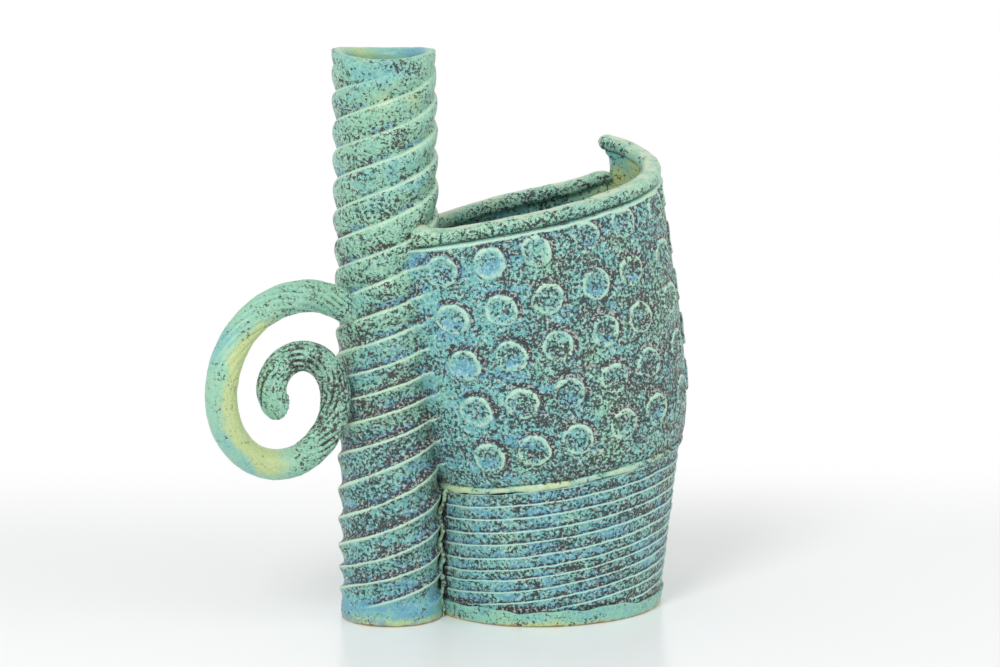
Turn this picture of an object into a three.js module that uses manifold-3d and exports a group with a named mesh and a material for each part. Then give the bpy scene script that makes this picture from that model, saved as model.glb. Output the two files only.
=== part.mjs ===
// Hand-built stoneware pitcher: a tall hollow column with spiral ribs, an oval slab body luted to its side,
// and a coil handle rolled into a spiral. Millimetres, +Z up, +X from the column to the far end of the body,
// -Y the front. Every piece is its own slab, strip or coil of clay, with a thin luted joint to the next.
import * as THREE from "three";
import { mergeVertices } from "three/addons/utils/BufferGeometryUtils.js";
import Module from "manifold-3d";

const wasm = await Module();
wasm.setup();

const { clamp, degToRad, lerp, smoothstep } = THREE.MathUtils;

// Joint between two pieces of clay
const JOINT_GAP = 0.3;

// Column: a rolled tube that stands on its own foot and leans a little away from the body
const COLUMN_HEIGHT = 333;
const COLUMN_RADIUS = 29.8;
const COLUMN_WALL = 7;
const COLUMN_LEAN = 3.7;
const COLUMN_FLOOR = 8;
const COLUMN_RIB_STARTS = 4;
const COLUMN_RIB_LEAD = 64.6;
const COLUMN_RIB_TURN = degToRad(40);
const COLUMN_RIB_DEPTH = 2.5;
const COLUMN_FOOT_BAND = 14;

// Body: ovals at the foot, the waist and the rim, pressed against the column
const BODY_PRESS = 2.4;
const BODY_FLOOR = 8;
const BODY_FOOT_EDGE = 1.2;
const SLAB = 7;
const FOOT_LENGTH = 137.6;
const FOOT_WIDTH = 124;
const WAIST_LENGTH = 150.6;
const WAIST_WIDTH = 128;
const WAIST_NEAR_HEIGHT = 79.5;
const WAIST_FAR_HEIGHT = 101;
const RIM_LENGTH = 178.5;
const RIM_WIDTH = 109;
const RIM_LEAN = 41.4;
const BELLY = 5.5;
const BELLY_LOWNESS = 0.6;

// Rim: the front slab climbs round the far end to a pouring tip, the back slab ends lower there
const TIP_ANGLE = degToRad(-36);
const FRONT_RIM_NEAR_HEIGHT = 216;
const FRONT_RIM_TIP_HEIGHT = 260;
const FRONT_RIM_EASE = 0.45;
const FRONT_RIM_FLICK = 4;
const BACK_RIM_NEAR_HEIGHT = 199;
const BACK_RIM_TIP_HEIGHT = 242.5;

// Coils laid along the rim, the waist and the crevice beside the column
const RIM_COIL_WIDTH = 11;
const RIM_COIL_HEIGHT = 9;
const RIM_COIL_SETBACK = 2;
const RIM_COIL_ROUNDNESS = 0.75;
const RIM_COIL_NUB = 5;
const RIM_COIL_NUB_SIZE = 0.6;
const WAIST_COIL_HEIGHT = 4.5;
const WAIST_COIL_PROUD = 1;
const WAIST_COIL_FACE = 1.8;
const SEAM_COIL_RADIUS = 2.5;

// Ribs combed into the lower wall, parallel to the waist
const COMB_PITCH = 7.4;
const COMB_DEPTH = 1.3;
const COMB_RIDGE = 4.4;

// Raised rings stamped on the upper walls in rows under the rim
const RING_PITCH = 27.5;
const RING_RADIUS = 8.8;
const RING_RIDGE = 3;
const RING_PROUD = 1.4;
const RING_EDGE = 14.5;
const RING_FIRST_ANGLE = degToRad(133.5);

// Handle: a tapering coil, rolled in a plane through the column's axis and turned to the front
const HANDLE_TURN = degToRad(17);
const HANDLE_CENTRE_HEIGHT = 139.6;
const HANDLE_START_RADIUS = 59.8;
const HANDLE_END_RADIUS = 8.9;
const HANDLE_START_ANGLE = degToRad(55);
const HANDLE_SWEEP = degToRad(526);
const HANDLE_SEAT_ANGLE = degToRad(350);
const HANDLE_ROOT_DIAMETER = 18.4;
const HANDLE_TIP_DIAMETER = 17.2;
const HANDLE_TIP_ROUND = 6;
const HANDLE_PRESS = 1.5;

// Facets
const OVAL_SIDES = 36;
const RIB_SIDES = 5;
const RIB_STEPS_PER_TURN = 15;
const TUBE_SIDES = 36;
const UPPER_ROWS = [0, 0.06, 0.2, 0.5, 1];
const COIL_SIDES = 10;
const SEAM_COIL_RINGS = 5;
const SEAM_COIL_HALVINGS = 30;
const RING_SIDES = 8;
const HANDLE_SIDES = 10;
const HANDLE_STEPS = 52;
const HANDLE_TIP_STEPS = 4;

const FULL_TURN = 2 * Math.PI;
const HALF_TURN = Math.PI;

// Shared geometry

function steps(count, visit) {
  return Array.from({ length: count }, (unused, index) => visit(index));
}

// Evenly spaced values from one end to the other, both ends included.
function spread(from, to, count) {
  return steps(count, (index) => lerp(from, to, index / (count - 1)));
}

function enclosedVolume(points, index) {
  let volume = 0;
  for (let corner = 0; corner < index.length; corner += 3) {
    const [a, b, c] = [points[index[corner]], points[index[corner + 1]], points[index[corner + 2]]];
    volume += a.dot(b.clone().cross(c)) / 6;
  }
  return volume;
}

// Joins rings of equally many points into one skin, with fanned ends unless the rings close on themselves.
function loft(rings, closed = false) {
  const sides = rings[0].length;
  const points = rings.flat();
  const index = [];
  const bands = closed ? rings.length : rings.length - 1;
  for (let band = 0; band < bands; band += 1) {
    const next = (band + 1) % rings.length;
    for (let side = 0; side < sides; side += 1) {
      const turned = (side + 1) % sides;
      const [a, b] = [band * sides + side, band * sides + turned];
      const [c, d] = [next * sides + turned, next * sides + side];
      index.push(a, b, d, b, c, d);
    }
  }
  if (!closed) {
    const lastRing = rings.length - 1;
    const ends = [0, lastRing].map((ring) => {
      const middle = new THREE.Vector3();
      rings[ring].forEach((point) => middle.addScaledVector(point, 1 / sides));
      return points.push(middle) - 1;
    });
    for (let side = 0; side < sides; side += 1) {
      const turned = (side + 1) % sides;
      index.push(ends[0], turned, side);
      index.push(ends[1], lastRing * sides + side, lastRing * sides + turned);
    }
  }
  if (enclosedVolume(points, index) < 0) {
    index.reverse();
  }
  const geometry = new THREE.BufferGeometry().setFromPoints(points);
  geometry.setIndex(index);
  return geometry;
}

function toSolid(geometry) {
  const bare = new THREE.BufferGeometry();
  bare.setAttribute("position", geometry.getAttribute("position"));
  bare.setIndex(geometry.getIndex());
  const merged = mergeVertices(bare);
  const vertProperties = new Float32Array(merged.getAttribute("position").array);
  const triVerts = new Uint32Array(merged.getIndex().array);
  return new wasm.Manifold(new wasm.Mesh({ numProp: 3, vertProperties, triVerts }));
}

function toGeometry(solid) {
  const mesh = solid.getMesh();
  const geometry = new THREE.BufferGeometry();
  geometry.setAttribute("position", new THREE.BufferAttribute(mesh.vertProperties, 3));
  geometry.setIndex(new THREE.BufferAttribute(mesh.triVerts, 1));
  return geometry;
}

function cut(geometry, ...cutters) {
  const cutSolid = cutters.reduce((solid, cutter) => solid.subtract(toSolid(cutter)), toSolid(geometry));
  return toGeometry(cutSolid);
}

function join(geometry, additions) {
  const joined = additions.reduce((solid, addition) => solid.add(toSolid(addition)), toSolid(geometry));
  return toGeometry(joined);
}

// Everything below a level, out past every side of the pitcher.
function below(level) {
  const size = 2 * (COLUMN_HEIGHT + RIM_LENGTH);
  return new THREE.BoxGeometry(size, size, size).translate(0, 0, level - size / 2);
}

// Column surfaces

function columnPoint(radius, angle, height) {
  const lean = COLUMN_LEAN * height / COLUMN_HEIGHT;
  return new THREE.Vector3(radius * Math.cos(angle) - lean, radius * Math.sin(angle), height);
}

// A smooth leaning round bar whose flats, not its corners, lie at the given radius.
function columnBar(radius, low, high) {
  const corner = radius / Math.cos(HALF_TURN / TUBE_SIDES);
  return loft([low, high].map((height) => (
    steps(TUBE_SIDES, (side) => columnPoint(corner, FULL_TURN * side / TUBE_SIDES, height))
  )));
}

// The room the column takes out of whatever is luted to it.
const columnSeat = columnBar(COLUMN_RADIUS + JOINT_GAP, -COLUMN_HEIGHT, 2 * COLUMN_HEIGHT);
const boreRadius = COLUMN_RADIUS - COLUMN_WALL;

// Body surfaces: angle 0 is the far end of an oval, a quarter turn the front and a half turn the near end

function oval(near, length, width) {
  return { centre: near + length / 2, along: length / 2, across: width / 2 };
}

function mixOval(low, high, share) {
  return {
    centre: lerp(low.centre, high.centre, share),
    along: lerp(low.along, high.along, share),
    across: lerp(low.across, high.across, share),
  };
}

function ovalPoint(shape, angle, inset, height) {
  const [run, rise] = [Math.cos(angle), -Math.sin(angle)];
  const outward = new THREE.Vector2(run / shape.along, rise / shape.across).normalize();
  const x = shape.centre + shape.along * run - inset * outward.x;
  const y = shape.across * rise - inset * outward.y;
  return new THREE.Vector3(x, y, height);
}

// Millimetres of outline per radian of angle.
function ovalSpeed(shape, angle) {
  return Math.hypot(shape.along * Math.sin(angle), shape.across * Math.cos(angle));
}

const bodyNear = COLUMN_RADIUS - BODY_PRESS;
const foot = oval(bodyNear, FOOT_LENGTH, FOOT_WIDTH);
const waist = oval(bodyNear, WAIST_LENGTH, WAIST_WIDTH);
const rim = oval(bodyNear - RIM_LEAN, RIM_LENGTH, RIM_WIDTH);

function waistHeight(angle) {
  return lerp(WAIST_NEAR_HEIGHT, WAIST_FAR_HEIGHT, (1 + Math.cos(angle)) / 2);
}

function frontRimHeight(angle) {
  const share = (HALF_TURN - angle) / (HALF_TURN - TIP_ANGLE);
  const eased = lerp(share, smoothstep(share, 0, 1), FRONT_RIM_EASE);
  const flick = FRONT_RIM_FLICK * smoothstep(angle / TIP_ANGLE, 0, 1);
  return lerp(FRONT_RIM_NEAR_HEIGHT, FRONT_RIM_TIP_HEIGHT, eased) + flick;
}

function backRimHeight(angle) {
  const share = (HALF_TURN + angle) / (HALF_TURN + TIP_ANGLE);
  return lerp(BACK_RIM_NEAR_HEIGHT, BACK_RIM_TIP_HEIGHT, share);
}

function lowerPoint(angle, height, inset) {
  const shape = mixOval(foot, waist, height / waistHeight(angle));
  return ovalPoint(shape, angle, inset, height);
}

function upperHeight(angle, rimHeight) {
  return rimHeight(angle) - waistHeight(angle) - JOINT_GAP;
}

// The upper wall swells quickly above the waist and straightens towards the rim.
function upperPoint(angle, share, rimHeight, inset) {
  const swell = BELLY * Math.sin(HALF_TURN * Math.pow(clamp(share, 0, 1), BELLY_LOWNESS));
  const height = rimHeight(angle) - (1 - share) * upperHeight(angle, rimHeight);
  return ovalPoint(mixOval(waist, rim, share), angle, inset - swell, height);
}

// Angles for a slab or coil that goes only part of the way round.
function ovalAngles(from, to) {
  const count = Math.ceil(OVAL_SIDES * (to - from) / FULL_TURN) + 1;
  return spread(from, to, count);
}

function lowerRing(height, inset) {
  return steps(OVAL_SIDES, (side) => {
    const angle = FULL_TURN * side / OVAL_SIDES;
    return lowerPoint(angle, height(angle), inset);
  });
}

// Column wall: each crest is a helix, so every ring of the skin is the one below it turned a little
function columnWall() {
  const rise = COLUMN_RIB_LEAD / RIB_STEPS_PER_TURN;
  const count = Math.round(COLUMN_HEIGHT / rise) + 1;
  const sides = COLUMN_RIB_STARTS * RIB_SIDES;
  const rings = spread(0, COLUMN_HEIGHT, count).map((height) => {
    const depth = COLUMN_RIB_DEPTH * smoothstep(height, 0, COLUMN_FOOT_BAND);
    return steps(sides, (side) => {
      const hollow = (1 - Math.cos(FULL_TURN * side / RIB_SIDES)) / 2;
      const angle = COLUMN_RIB_TURN + FULL_TURN * (side / sides + height / COLUMN_RIB_LEAD);
      return columnPoint(COLUMN_RADIUS - depth * hollow, angle, height);
    });
  });
  return cut(loft(rings), columnBar(boreRadius, -COLUMN_HEIGHT, 2 * COLUMN_HEIGHT));
}

// Column floor: a round disc inside the foot of the wall
function columnFloor() {
  const corner = Math.cos(HALF_TURN / TUBE_SIDES);
  return columnBar((boreRadius - JOINT_GAP) * corner, 0, COLUMN_FLOOR);
}

// Body floor: an oval slab whose edge shows as a smooth band under the combed wall
function bodyFloor() {
  const rings = [
    lowerRing(() => 0, BODY_FOOT_EDGE),
    lowerRing(() => BODY_FOOT_EDGE, 0),
    lowerRing(() => BODY_FLOOR, 0),
  ];
  return cut(loft(rings), columnSeat);
}

// Lower wall: a strip bent into a closed oval, its ribs level with the tilted waist
function lowerWall() {
  const drop = WAIST_COIL_HEIGHT + JOINT_GAP;
  const ribs = Math.ceil((WAIST_FAR_HEIGHT - drop - BODY_FLOOR) / COMB_PITCH);
  const outside = [[drop, COMB_DEPTH]];
  for (let rib = 0; rib < ribs; rib += 1) {
    const crest = drop + (rib + 0.5) * COMB_PITCH;
    outside.push([crest - COMB_RIDGE / 2, COMB_DEPTH], [crest, 0], [crest + COMB_RIDGE / 2, COMB_DEPTH]);
  }
  const lowest = drop + ribs * COMB_PITCH;
  const section = [...outside, [lowest, COMB_DEPTH], [lowest, SLAB], [drop, SLAB]];
  const sections = steps(OVAL_SIDES, (side) => {
    const angle = FULL_TURN * side / OVAL_SIDES;
    return section.map(([depth, inset]) => lowerPoint(angle, waistHeight(angle) - depth, inset));
  });
  return cut(loft(sections, true), below(BODY_FLOOR + JOINT_GAP), columnSeat);
}

// Waist coil: a flattened bead closing the seam between the lower and upper walls
function waistCoil() {
  const edge = (WAIST_COIL_HEIGHT - WAIST_COIL_FACE) / 2;
  const bead = [
    [-WAIST_COIL_PROUD, WAIST_COIL_HEIGHT - edge],
    [-WAIST_COIL_PROUD, edge],
    [0, 0],
    [SLAB, 0],
    [SLAB, WAIST_COIL_HEIGHT],
    [0, WAIST_COIL_HEIGHT],
  ];
  const rings = steps(OVAL_SIDES, (side) => {
    const angle = FULL_TURN * side / OVAL_SIDES;
    return bead.map(([inset, depth]) => lowerPoint(angle, waistHeight(angle) - depth, inset));
  });
  return cut(loft(rings, true), columnSeat);
}

// A raised stamped ring that follows the curve of an upper wall
function stampedRing(angle, share, rimHeight) {
  const speed = ovalSpeed(mixOval(waist, rim, share), angle);
  const height = upperHeight(angle, rimHeight);
  const ridge = [[-RING_RIDGE / 2, -RING_PROUD], [0, RING_PROUD], [RING_RIDGE / 2, -RING_PROUD]];
  const sections = steps(RING_SIDES, (side) => {
    const turn = FULL_TURN * side / RING_SIDES;
    return ridge.map(([offset, proud]) => {
      const radius = RING_RADIUS + offset;
      const across = angle + radius * Math.cos(turn) / speed;
      return upperPoint(across, share + radius * Math.sin(turn) / height, rimHeight, -proud);
    });
  });
  return loft(sections, true);
}

// Rows of rings under the rim, in columns one pitch apart from the first angle to the last
function stampedRings(first, last, rimHeight) {
  const middle = mixOval(waist, rim, 0.5);
  const direction = Math.sign(last - first);
  const room = RING_RADIUS + RING_RIDGE;
  const rings = [];
  let angle = first;
  while (direction * (last - angle) > room / ovalSpeed(middle, angle)) {
    const height = upperHeight(angle, rimHeight);
    for (let depth = RING_EDGE; depth < height - room; depth += RING_PITCH) {
      rings.push(stampedRing(angle, 1 - depth / height, rimHeight));
    }
    angle += direction * RING_PITCH / ovalSpeed(middle, angle);
  }
  return rings;
}

// Half of the joint where the two upper slabs meet, as an angle
const slabEnd = JOINT_GAP / rim.across;

// Upper wall: a slab from one angle to another, up to its own rim line, stamped before it is bent
function upperWall(from, to, rimHeight, rings) {
  const sections = ovalAngles(from, to).map((angle) => {
    const outside = UPPER_ROWS.map((share) => upperPoint(angle, share, rimHeight, 0));
    const inside = UPPER_ROWS.map((share) => upperPoint(angle, share, rimHeight, SLAB));
    return [...outside, ...inside.reverse()];
  });
  return cut(join(loft(sections), rings), columnSeat);
}

function upperFrontWall() {
  const rings = stampedRings(RING_FIRST_ANGLE, TIP_ANGLE, frontRimHeight);
  return upperWall(TIP_ANGLE + slabEnd, HALF_TURN - slabEnd, frontRimHeight, rings);
}

function upperBackWall() {
  const rings = stampedRings(-RING_FIRST_ANGLE, TIP_ANGLE, backRimHeight);
  return upperWall(slabEnd - HALF_TURN, TIP_ANGLE - slabEnd, backRimHeight, rings);
}

// Rim coil: a rounded roll on top of a slab, set back from its outer face; size narrows it at an angle
function rimCoil(from, to, rimHeight, size) {
  const inset = RIM_COIL_SETBACK + RIM_COIL_WIDTH / 2;
  const lift = JOINT_GAP + RIM_COIL_HEIGHT / 2;
  const squarish = (value) => Math.sign(value) * Math.pow(Math.abs(value), RIM_COIL_ROUNDNESS);
  const sections = ovalAngles(from, to).map((angle) => (
    steps(COIL_SIDES, (side) => {
      const turn = FULL_TURN * (side + 0.5) / COIL_SIDES;
      const inward = inset + size(angle) * squarish(Math.cos(turn)) * RIM_COIL_WIDTH / 2;
      const height = lift + size(angle) * squarish(Math.sin(turn)) * RIM_COIL_HEIGHT / 2;
      return ovalPoint(rim, angle, inward, rimHeight(angle) + height);
    })
  ));
  return cut(loft(sections), columnSeat);
}

function frontRimCoil() {
  const nub = RIM_COIL_NUB / ovalSpeed(rim, TIP_ANGLE);
  const size = (angle) => {
    const share = clamp((angle - TIP_ANGLE) / nub, 0, 1);
    return lerp(RIM_COIL_NUB_SIZE, 1, Math.sqrt(share * (2 - share)));
  };
  return rimCoil(TIP_ANGLE, HALF_TURN - slabEnd, frontRimHeight, size);
}

function backRimCoil() {
  return rimCoil(slabEnd - HALF_TURN, TIP_ANGLE - slabEnd, backRimHeight, () => 1);
}

// Seam coil: a thin roll pressed into the crevice between the column and the lower wall
function seamCoil(side) {
  const top = WAIST_NEAR_HEIGHT - WAIST_COIL_HEIGHT - SEAM_COIL_RADIUS;
  const away = SEAM_COIL_RADIUS + JOINT_GAP;
  const rings = spread(0, top, SEAM_COIL_RINGS).map((height) => {
    const shape = mixOval(foot, waist, height / WAIST_NEAR_HEIGHT);
    const centreAt = (angle) => columnPoint(COLUMN_RADIUS + away, angle, height);
    const outside = (point) => (
      Math.hypot((point.x - shape.centre) / (shape.along + away), point.y / (shape.across + away)) > 1
    );
    let [inner, outer] = [0, HALF_TURN / 2];
    for (let halving = 0; halving < SEAM_COIL_HALVINGS; halving += 1) {
      const middle = (inner + outer) / 2;
      [inner, outer] = outside(centreAt(middle)) ? [inner, middle] : [middle, outer];
    }
    const centre = centreAt(side * outer);
    return steps(COIL_SIDES, (step) => {
      const turn = FULL_TURN * step / COIL_SIDES;
      const [x, y] = [SEAM_COIL_RADIUS * Math.cos(turn), SEAM_COIL_RADIUS * Math.sin(turn)];
      return centre.clone().add(new THREE.Vector3(x, y, 0));
    });
  });
  return loft(rings);
}

// Handle: its root enters the column, and its curl is pressed onto the column further down
function handle() {
  const share = (angle) => (angle - HANDLE_START_ANGLE) / HANDLE_SWEEP;
  const radiusAt = (angle) => lerp(HANDLE_START_RADIUS, HANDLE_END_RADIUS, share(angle));
  const thicknessAt = (along) => lerp(HANDLE_ROOT_DIAMETER, HANDLE_TIP_DIAMETER, along) / 2;
  const seatReach = COLUMN_RADIUS + thicknessAt(share(HANDLE_SEAT_ANGLE)) - HANDLE_PRESS;
  const centreReach = seatReach + radiusAt(HANDLE_SEAT_ANGLE) * Math.cos(HANDLE_SEAT_ANGLE);
  const lean = COLUMN_LEAN * HANDLE_CENTRE_HEIGHT / COLUMN_HEIGHT;
  const place = (reach, height) => (
    new THREE.Vector3(-reach * Math.cos(HANDLE_TURN) - lean, -reach * Math.sin(HANDLE_TURN), height)
  );
  const spiral = spread(HANDLE_START_ANGLE, HANDLE_START_ANGLE + HANDLE_SWEEP, HANDLE_STEPS).map((angle) => {
    const radius = radiusAt(angle);
    return place(centreReach - radius * Math.cos(angle), HANDLE_CENTRE_HEIGHT + radius * Math.sin(angle));
  });
  const root = place(boreRadius, spiral[0].z - HANDLE_ROOT_DIAMETER / 4);
  const path = new THREE.CatmullRomCurve3([root, ...spiral]);
  const sideways = new THREE.Vector3(-Math.sin(HANDLE_TURN), Math.cos(HANDLE_TURN), 0);
  const section = (along, size) => {
    const centre = path.getPointAt(along);
    const upright = path.getTangentAt(along).cross(sideways);
    return steps(HANDLE_SIDES, (side) => {
      const turn = FULL_TURN * side / HANDLE_SIDES;
      const radius = size * thicknessAt(along);
      const offset = upright.clone().multiplyScalar(radius * Math.cos(turn));
      return centre.clone().add(offset).addScaledVector(sideways, radius * Math.sin(turn));
    });
  };
  const round = HANDLE_TIP_ROUND / path.getLength();
  const rings = spread(0, 1 - round, HANDLE_STEPS).map((along) => section(along, 1));
  for (let step = 1; step < HANDLE_TIP_STEPS; step += 1) {
    const reached = step / HANDLE_TIP_STEPS;
    rings.push(section(1 - round * (1 - reached), Math.sqrt(1 - reached * reached)));
  }
  return cut(loft(rings), columnSeat);
}

// Assembly

function glaze(colour, roughness) {
  return new THREE.MeshStandardMaterial({ color: colour, roughness, metalness: 0 });
}

const ribGlaze = glaze(0x7c9c93, 0.6);
const wallGlaze = glaze(0x7f9a95, 0.6);
const edgeGlaze = glaze(0x9aaf9d, 0.55);
const handleGlaze = glaze(0xb0cda6, 0.55);
const insideGlaze = glaze(0x92b9a5, 0.55);

function piece(name, geometry, material) {
  geometry.computeVertexNormals();
  const mesh = new THREE.Mesh(geometry, material);
  mesh.name = name;
  return mesh;
}

const column = new THREE.Group();
column.add(piece("column_wall", columnWall(), ribGlaze));
column.add(piece("column_floor", columnFloor(), insideGlaze));

const body = new THREE.Group();
body.add(piece("body_floor", bodyFloor(), insideGlaze));
body.add(piece("lower_wall", lowerWall(), ribGlaze));
body.add(piece("waist_coil", waistCoil(), edgeGlaze));
body.add(piece("upper_front_wall", upperFrontWall(), wallGlaze));
body.add(piece("upper_back_wall", upperBackWall(), wallGlaze));
body.add(piece("front_rim_coil", frontRimCoil(), edgeGlaze));
body.add(piece("back_rim_coil", backRimCoil(), edgeGlaze));
body.add(piece("front_seam_coil", seamCoil(-1), edgeGlaze));
body.add(piece("back_seam_coil", seamCoil(1), edgeGlaze));

const pitcher = new THREE.Group();
pitcher.add(column, body, piece("handle", handle(), handleGlaze));

// The origin is under the middle of the whole pitcher, on the surface it stands on.
const extent = new THREE.Box3().setFromObject(pitcher);
const middle = extent.getCenter(new THREE.Vector3());
pitcher.position.set(-middle.x, -middle.y, -extent.min.z);

export default pitcher;
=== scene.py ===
import math

import bmesh
import bpy
import numpy as np
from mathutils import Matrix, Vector


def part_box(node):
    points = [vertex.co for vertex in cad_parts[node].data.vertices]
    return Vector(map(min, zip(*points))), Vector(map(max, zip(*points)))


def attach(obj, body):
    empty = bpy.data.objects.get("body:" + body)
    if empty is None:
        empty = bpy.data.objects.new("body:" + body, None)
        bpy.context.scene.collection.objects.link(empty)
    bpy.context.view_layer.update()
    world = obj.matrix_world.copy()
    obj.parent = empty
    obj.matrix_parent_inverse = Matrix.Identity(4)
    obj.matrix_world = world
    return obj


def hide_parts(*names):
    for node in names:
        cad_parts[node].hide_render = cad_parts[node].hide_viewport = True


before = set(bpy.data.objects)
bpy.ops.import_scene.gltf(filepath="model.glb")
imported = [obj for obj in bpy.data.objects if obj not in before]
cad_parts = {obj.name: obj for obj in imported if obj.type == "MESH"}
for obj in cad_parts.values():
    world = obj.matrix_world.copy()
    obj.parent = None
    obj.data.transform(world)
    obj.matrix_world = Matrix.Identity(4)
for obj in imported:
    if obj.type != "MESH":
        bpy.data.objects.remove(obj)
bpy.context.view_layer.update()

# Table, studio light and camera
# A white table top that fades into a white room, under soft light from the front and above. The camera
# stands in front, a little above and towards the handle's side, and is placed from the column's foot.
disc_low, disc_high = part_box("column_floor")
AXIS_X = (disc_low.x + disc_high.x) / 2
CAMERA_PLACE = Vector((AXIS_X - 0.7611, -2.2761, 0.6253))
CAMERA_TURN = math.radians(20.0)
CAMERA_PITCH = math.radians(10.8)
CAMERA_LENS = 152.06
CAMERA_SENSOR = 36.0
TABLE_SIZE = 14.0
TABLE_FADE_START = 0.17
TABLE_FADE_END = 0.42
TABLE_GLOW = 0.06
WHITE = (1, 1, 1, 1)
ROOM_LIGHT = 0.62
LIT_POINT = (0, 0, 0.16)
KEY_PLACE = (-1.3, -1.5, 1.7)
KEY_SIZE = 0.9
KEY_POWER = 26.0
FILL_PLACE = (1.6, -1.2, 1.0)
FILL_SIZE = 1.2
FILL_POWER = 7.0


def srgb(red, green, blue):
    """A colour as a picture shows it, from 0 to 255, turned into the light it stands for."""
    shares = (value / 255 for value in (red, green, blue))
    return tuple(((s + 0.055) / 1.055) ** 2.4 if s > 0.04045 else s / 12.92 for s in shares) + (1.0,)


class NodeBench:
    """Adds nodes to one tree. A value given to a node is a number, a colour or another node's socket."""

    def __init__(self, tree):
        self.tree = tree

    def node(self, kind, values=None, **settings):
        made = self.tree.nodes.new(kind)
        for name, setting in settings.items():
            setattr(made, name, setting)
        self.fill(made, values or {})
        return made

    def fill(self, made, values):
        for key, value in values.items():
            if isinstance(value, bpy.types.NodeSocket):
                self.tree.links.new(value, made.inputs[key])
            else:
                made.inputs[key].default_value = value

    def calc(self, operation, *values):
        return self.node("ShaderNodeMath", dict(enumerate(values)), operation=operation).outputs[0]

    def product(self, first, *others):
        for other in others:
            first = self.calc("MULTIPLY", first, other)
        return first

    def length(self, first, second):
        squares = self.calc("ADD", self.calc("POWER", first, 2.0), self.calc("POWER", second, 2.0))
        return self.calc("SQRT", squares)

    def scaled(self, value, factor, extra=0.0):
        return self.calc("MULTIPLY_ADD", value, factor, extra)

    def ramp(self, value, low, high, start=0.0, end=1.0):
        """A soft change from start to end while the value goes from low to high."""
        values = {0: value, 1: low, 2: high, 3: start, 4: end}
        return self.node("ShaderNodeMapRange", values, interpolation_type="SMOOTHSTEP").outputs[0]

    def noise(self, place, scale, detail=2.0, roughness=0.5):
        values = {"Vector": place, "Scale": scale, "Detail": detail, "Roughness": roughness}
        return self.node("ShaderNodeTexNoise", values)

    def clouds(self, place, scale, detail=2.0, roughness=0.5, strength=1.0):
        """Noise about zero."""
        return self.scaled(self.noise(place, scale, detail, roughness).outputs[0], strength, -strength / 2)

    def blend(self, share, first, second, mode="MIX"):
        values = {0: share, 6: first, 7: second}
        return self.node("ShaderNodeMix", values, data_type="RGBA", blend_type=mode).outputs[2]


def lamp(name, place, target, size, power):
    """A round softbox that faces a point."""
    light = bpy.data.lights.new(name, "AREA")
    light.shape = "DISK"
    light.size = size
    light.energy = power
    holder = bpy.data.objects.new(name, light)
    holder.location = place
    holder.rotation_euler = (Vector(target) - Vector(place)).to_track_quat("-Z", "Y").to_euler()
    bpy.context.scene.collection.objects.link(holder)


bpy.context.scene.view_settings.view_transform = "Standard"

world = bpy.data.worlds.new("white_room")
bpy.context.scene.world = world
world.use_nodes = True
world.node_tree.nodes.clear()
bench = NodeBench(world.node_tree)
path = bench.node("ShaderNodeLightPath")
seen = bench.calc("MAXIMUM", path.outputs["Is Camera Ray"], path.outputs["Is Glossy Ray"])
seen = bench.calc("MAXIMUM", seen, path.outputs["Is Transmission Ray"])
strength = bench.ramp(seen, 0, 1, ROOM_LIGHT, 1)
glow = bench.node("ShaderNodeBackground", {"Color": WHITE, "Strength": strength})
bench.node("ShaderNodeOutputWorld", {"Surface": glow.outputs[0]})

lamp("key_softbox", KEY_PLACE, LIT_POINT, KEY_SIZE, KEY_POWER)
lamp("fill_softbox", FILL_PLACE, LIT_POINT, FILL_SIZE, FILL_POWER)

table_mesh = bpy.data.meshes.new("table_top")
half = TABLE_SIZE / 2
corners = [(-half, -half, 0), (half, -half, 0), (half, half, 0), (-half, half, 0)]
table_mesh.from_pydata(corners, [], [(0, 1, 2, 3)])
table = bpy.data.objects.new("table_top", table_mesh)
bpy.context.scene.collection.objects.link(table)
table_white = bpy.data.materials.new("table_white")
table_white.use_nodes = True
table_white.node_tree.nodes.clear()
bench = NodeBench(table_white.node_tree)
spot = bench.node("ShaderNodeTexCoord").outputs["Object"]
away = (math.sin(CAMERA_TURN), math.cos(CAMERA_TURN), 0)
depth = bench.node("ShaderNodeVectorMath", {0: spot, 1: away}, operation="DOT_PRODUCT").outputs["Value"]
values = {"Base Color": srgb(246, 247, 247), "Roughness": 0.24, "IOR": 1.32}
values["Emission Color"] = WHITE
values["Emission Strength"] = TABLE_GLOW
top = bench.node("ShaderNodeBsdfPrincipled", values)
haze = bench.node("ShaderNodeEmission", {"Color": WHITE, "Strength": 1.0})
fade = bench.ramp(depth, TABLE_FADE_START + AXIS_X * away[0], TABLE_FADE_END + AXIS_X * away[0])
faded = bench.node("ShaderNodeMixShader", {0: fade, 1: top.outputs[0], 2: haze.outputs[0]})
bench.node("ShaderNodeOutputMaterial", {"Surface": faded.outputs[0]})
table_mesh.materials.append(table_white)

camera_data = bpy.data.cameras.new("camera")
camera_data.lens = CAMERA_LENS
camera_data.sensor_width = CAMERA_SENSOR
camera_data.sensor_fit = "HORIZONTAL"
camera_data.clip_start = 0.05
camera = bpy.data.objects.new("camera", camera_data)
camera.location = CAMERA_PLACE
camera.rotation_euler = (math.pi / 2 - CAMERA_PITCH, 0, -CAMERA_TURN)
bpy.context.scene.collection.objects.link(camera)
bpy.context.scene.camera = camera

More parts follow.
